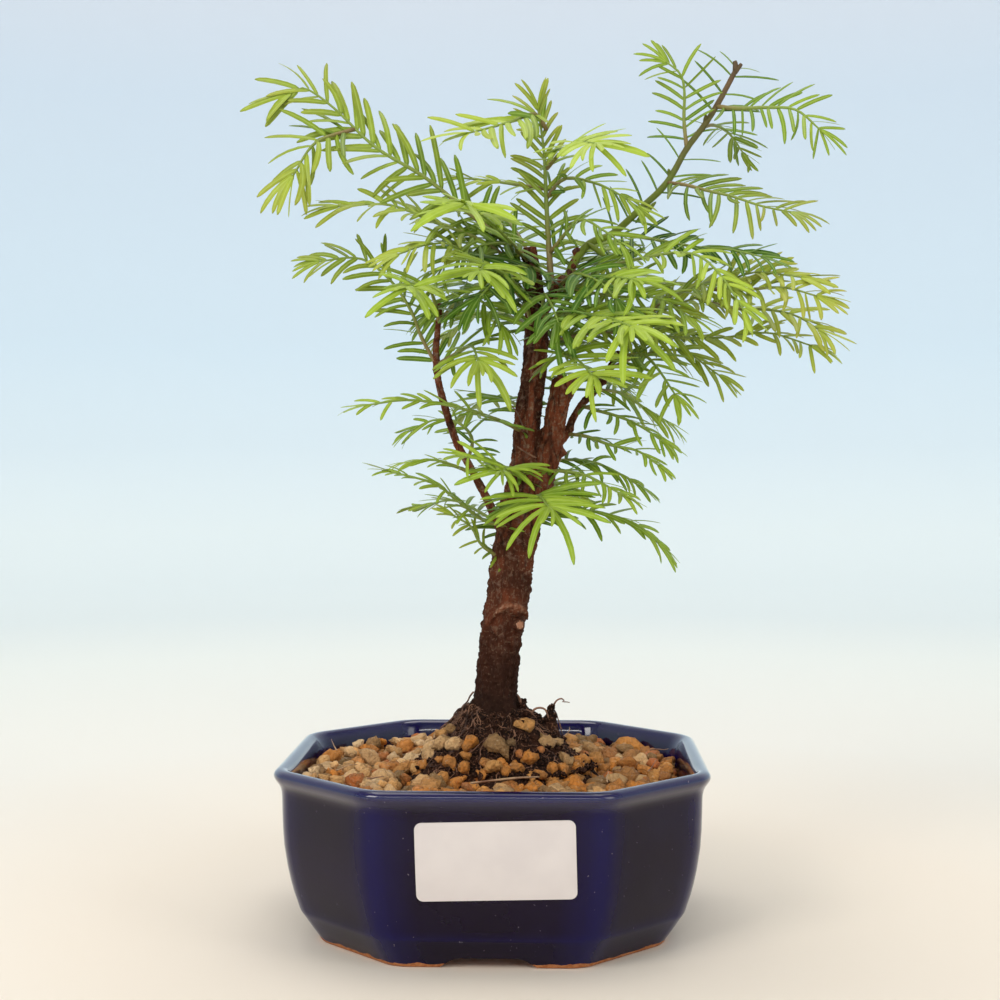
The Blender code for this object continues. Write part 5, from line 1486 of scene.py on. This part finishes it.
# Short shoots that only fill the inside of the crown. The low tones of the darkest are
# painted shade inside it
INNER_SHOOTS = (
    ("centre_left", ((18, -3, 275), (14, -6, 280), (7, -14, 276), (-3, -20, 272), (-8, -24, 270)),
     LEAN, 15, 0.9, 0.2),
    ("behind_top", ((19, 0, 255), (8, 2, 257), (-3, 4, 259), (-12, 5, 260)), LEAN, 9, 0.85, 0.3),
    ("dark_left", ((19.5, -1, 225), (10, -14, 227), (2, -22, 222), (-4, -28, 215)),
     LEAN, 14, 0.2, 0),
    ("dark_right", ((22, -2.8, 221), (28, -15, 224), (36, -24, 220), (41, -30, 214)),
     LEAN, 14, 0.25, 0),
    ("dark_middle", ((17, -5.5, 210), (17, -17, 217), (20, -26, 212), (22, -33, 206)),
     LEAN, 13, 0.3, 0),
    ("fill_right", ((22, -2.5, 221), (42, -8, 217), (55, -14, 216), (66, -20, 209)),
     LEAN, 12, 0.7, 0.08),
    ("fill_right_back", ((14, 0, 207), (35, 6, 212), (50, 12, 214), (65, 16, 208)),
     SKY, 12, 0.4, 0.1),
    ("fill_left", ((13, 0, 226), (0, 2, 224), (-14, 6, 219), (-23, 8, 213)), LEAN, 12, 0.35, 0.05),
    ("fill_left_high", ((12.5, 0, 230), (3, -10, 235), (-9, -16, 232), (-17, -20, 226)),
     LEAN, 12, 0.45, 0.1),
    ("fill_far_right", ((52, 4, 211), (61, -2, 217), (72, -8, 221), (81, -14, 219)),
     LEAN, 12, 0.6, 0.3),
    ("fill_centre", ((19, 1, 233), (29, -8, 243), (37, -14, 239), (43, -18, 234)),
     LEAN, 11, 0.55, 0.05),
    ("near_left", ((8.5, -12, 156), (3, -22, 159), (-3, -29, 161), (-9, -35, 162)),
     LEAN, 10, 0.8, 0),
    ("fill_low_left", ((-19, -7, 209), (-10, -16, 216), (-2, -22, 213), (3, -26, 206)),
     LEAN, 13, 0.6, 0.05),
)
print(len(SHOOTS), "shoots and", len(INNER_SHOOTS), "short ones inside")

# %% Stem skin of the leafy shoots
stalk = Surface("stem_skin", 0.55)
_, stem_bronze, stem_along = stalk.channels("own")
aged = stalk.plus(stalk.times(stem_bronze, 0.5), stalk.math("SUBTRACT", 0.62, stem_along))
stem_base = stalk.ramp(aged, (
    (0.0, (0.21, 0.33, 0.030)), (0.35, (0.20, 0.26, 0.035)), (0.6, (0.22, 0.15, 0.045)),
    (1.0, (0.15, 0.062, 0.030)),
))
stem_ridges = stalk.grain(800.0, 0.1)
stalk.give("Base Color", stalk.mix(stalk.times(stem_ridges, 0.25), stem_base, (0.36, 0.32, 0.12)))
stalk.roughness(stem_ridges, 0.42, 0.65)
stalk.bump(stem_ridges, 0.00015, 0.6)
print("stem skin in", len(stalk.tree.nodes), "nodes")

# %% Grow a shoot
NEEDLE_SPACING = 3.5
# Share of needles that have fallen
FALLEN_SHARE = 0.07
# Needles grow this much longer than the table says
FULLNESS = 1.38
# They turn their flat side towards the light
LIGHT_WAY = Vector((0.0, -0.85, 0.53))
# The first needle stands this far up the shoot
BARE_BASE = 2.5
ANGLE_AT_BASE = math.radians(61)
ANGLE_AT_TIP = math.radians(24)
# A shoot that points at the viewer by more than this shows its needles as a star
TOWARDS_VIEWER = 0.7
TUFT_SPREADS = (-0.40, -0.12, 0.16, 0.42)
STAR_TURNS = (-1.25, -0.6, 0.35, 1.2)
STEM_RADIUS = 0.72
TIP_RADIUS = 0.30
# Rings of the stem this far apart; every other one is swollen by this share
STEM_STEP, SWELLING = 2.5, 0.12
THICK_STEMS = {"centre": 1.25, "leader_up": 0.8, "leader_right": 0.85, "crown_left": 0.95}
# Shoots whose needles are slimmer than those of the rest
SLIM_NEEDLES = {"leader_up": 0.76, "leader_right": 0.76, "leader_middle": 0.85, "left_low": 0.82,
                "left_low_front": 0.82, "left_lowest": 0.8, "left_inner": 0.85,
                "left_arch": 0.9, "near_low": 0.82, "near_high": 0.88, "near_left": 0.88}


class Line:
    """A smooth route, read by the distance along it."""

    def __init__(self, points):
        self.points = [Vector(point) for point in smooth_line(points, 1.0)]
        self.marks = [0.0]
        for here, there in zip(self.points, self.points[1:]):
            self.marks.append(self.marks[-1] + (there - here).length)
        self.length = self.marks[-1]

    def at(self, distance):
        """The place at a distance along the route."""
        distance = min(max(distance, 0.0), self.length)
        index = min(int(np.searchsorted(self.marks, distance, side="right")),
                    len(self.points) - 1)
        before = self.marks[index - 1]
        share = (distance - before) / (self.marks[index] - before)
        return self.points[index - 1].lerp(self.points[index], share)

    def ways(self, distance, face):
        """Forward, sideways and up on the flat side, at a distance along the route."""
        heading = (self.at(distance + 1.0) - self.at(distance - 1.0)).normalized()
        side = heading.cross(face).normalized()
        return heading, side, side.cross(heading)


def grow_rows(bm, line, face, length, slim, tone, bronze, rng):
    """Two rows of needles along a shoot."""
    for spot in np.arange(BARE_BASE + rng.uniform(0, 1), line.length - 1.0, NEEDLE_SPACING):
        share = spot / line.length
        heading, side, upper = line.ways(spot, face)
        # Needles are longest past the middle of a shoot, and brighter further out: young at the
        # tip, and darker at the base as painted shade inside the crown
        fill = 0.70 + 0.30 * math.sin(math.pi * (0.15 + 0.75 * share))
        shade = tone * (0.50 + 0.50 * min(1.0, share * 1.6))
        towards = max(0.0, -heading.y)
        near = towards > TOWARDS_VIEWER
        # They lean forward near the tip, but on a shoot seen end on they stay wide
        at_tip = ANGLE_AT_TIP + (ANGLE_AT_BASE + 0.2 - ANGLE_AT_TIP) * towards
        for hand in (1, -1):
            if rng.random() < FALLEN_SHARE:
                continue
            angle = ANGLE_AT_BASE + (at_tip - ANGLE_AT_BASE) * share ** 1.4
            angle += rng.gauss(0, 0.12)
            lift = rng.gauss(0.12, 0.14) if near else rng.gauss(0.08, 0.22)
            out = side * hand * math.cos(lift) + upper * math.sin(lift)
            way = (heading * math.cos(angle) + out * math.sin(angle)).normalized()
            normal = (upper * 0.5 + LIGHT_WAY * rng.uniform(0.1, 1.0)).normalized()
            add_needle(bm, line.at(spot + rng.uniform(-0.6, 0.6)), way, normal,
                       length * fill * rng.uniform(0.76, 1.10), unit(shade + rng.gauss(0, 0.07)),
                       unit(bronze * (0.3 + share) + rng.gauss(0, 0.05)), rng,
                       slim * (1.1 if near else 1.0), near)


def grow_end(bm, line, face, length, slim, tone, bronze, rng):
    """A tuft of four at the end of a shoot, and four more if it points at the viewer."""
    heading, side, upper = line.ways(line.length, face)
    for spread in TUFT_SPREADS:
        way = (heading + side * spread + upper * 0.05).normalized()
        add_needle(bm, line.at(line.length - 0.6), way, upper, length * rng.uniform(0.68, 0.92),
                   min(1.0, tone + 0.08), bronze, rng, slim)
    if -heading.y > TOWARDS_VIEWER:
        for turn in STAR_TURNS:
            turn += rng.gauss(0, 0.3)
            way = heading * 0.5 + side * math.sin(turn) - upper * 0.45 * math.cos(turn)
            add_needle(bm, line.at(line.length - rng.uniform(0.5, 3.5)), way.normalized(),
                       LIGHT_WAY, length * rng.uniform(0.65, 1.15),
                       min(1.0, tone + rng.gauss(0.05, 0.05)), bronze, rng, slim * 1.1, True)


def stem_of(line, base_radius, tone, bronze):
    """The shoot's own stem, thinning to its tip, with its marks from base to tip."""
    count = max(3, round(line.length / STEM_STEP))
    strand = []
    for step in range(count + 1):
        share = step / count
        radius = base_radius + (TIP_RADIUS - base_radius) * share
        strand.append((*line.at(share * line.length), radius * (1.0 + SWELLING * (step % 2))))
    mesh = tubes([strand], 1)
    finder = search_tree(line.points)
    along = [finder.find(vert.co)[1] / len(line.points) for vert in mesh.vertices]
    paint(mesh, "own", np.array([(tone, bronze, share, 0.0) for share in along]))
    for polygon in mesh.polygons:
        polygon.material_index = 1
    return mesh


total_needles = 0
for name, points, face, length, tone, bronze in SHOOTS + INNER_SHOOTS:
    rng = random.Random(name)
    line = Line(points)
    shoot_bm = bmesh.new()
    shoot_bm.from_mesh(stem_of(line, THICK_STEMS.get(name, STEM_RADIUS), tone, bronze))
    before = len(shoot_bm.verts)
    for grow in (grow_rows, grow_end):
        grow(shoot_bm, line, Vector(face).normalized(), length * FULLNESS,
             SLIM_NEEDLES.get(name, 1.0), tone, bronze, rng)
    total_needles += (len(shoot_bm.verts) - before) // len(BLADES[0].vertices)
    spray = f"spray_{name}"
    finished(f"shoot_{name}", mesh_of(shoot_bm), [leaf, stalk],
             [spray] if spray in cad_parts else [])
print(total_needles, "needles")

# %% [markdown]
# ## Loose needles on the leader
#
# The leader carries single long needles between its side shoots. They are the same
# blades, set in pairs, and they are their own piece because the stem is a piece too.

# %% Needles along the leader
UP = Vector((0.0, 0.0, 1.0))
LOOSE_SPACING = 7.0
# Share of loose needles that have fallen, their angle to the stem in degrees, and length
LOOSE_FALLEN, LOOSE_ANGLES, LOOSE_LENGTHS = 0.25, (48, 72), (13, 19)
# Root, way and length of the two needles at the tip
TIP_NEEDLES = (((84, 8.8, 299), (-0.55, 0, 0.84), 8), ((85.4, 8.8, 298.5), (1, 0, 0.05), 8))
leader_route = Line([ring[:3] for ring in LEADER])
loose_rng = random.Random(77)
loose_bm = bmesh.new()
for spot in np.arange(9.0, leader_route.length - 1.0, LOOSE_SPACING):
    heading, side, upper = leader_route.ways(spot, Vector(FRONT))
    for hand in (1, -1):
        if loose_rng.random() < LOOSE_FALLEN:
            continue
        angle = math.radians(loose_rng.uniform(*LOOSE_ANGLES))
        out = side * hand * math.cos(0.3) + upper * math.sin(loose_rng.uniform(-0.2, 0.6))
        way = (heading * math.cos(angle) + out * math.sin(angle)).normalized()
        add_needle(loose_bm, leader_route.at(spot), way, (upper + UP * 0.6).normalized(),
                   loose_rng.uniform(*LOOSE_LENGTHS), 0.25 + loose_rng.uniform(-0.1, 0.15),
                   0.05, loose_rng, slim=0.5, arched=True)
for place, way, length in TIP_NEEDLES:
    add_needle(loose_bm, Vector(place), Vector(way).normalized(), Vector(LEAN), length, 0.4, 0.1,
               loose_rng, slim=0.6)
finished("leader_needles", mesh_of(loose_bm), [leaf])

# %% [markdown]
# ## Drain meshes
#
# Two squares of black plastic net keep the soil in over the drain holes. Their plain
# solids already have the right bars and holes, so they only get a moulded plastic.

# %% Plastic net
net_plastic = two_toned("net_plastic", 0.5, (500.0, 0.3, 0.7, 2.0),
                        ((0.012, 0.013, 0.013), (0.035, 0.036, 0.036)), (0.42, 0.6))
net_plastic.bump(net_plastic.grain(1500.0, 0.1), 0.00005, 0.4)
for node in ("drain_mesh_left", "drain_mesh_right"):
    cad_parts[node].material_slots[0].material = net_plastic.material
print("two drain meshes finished")
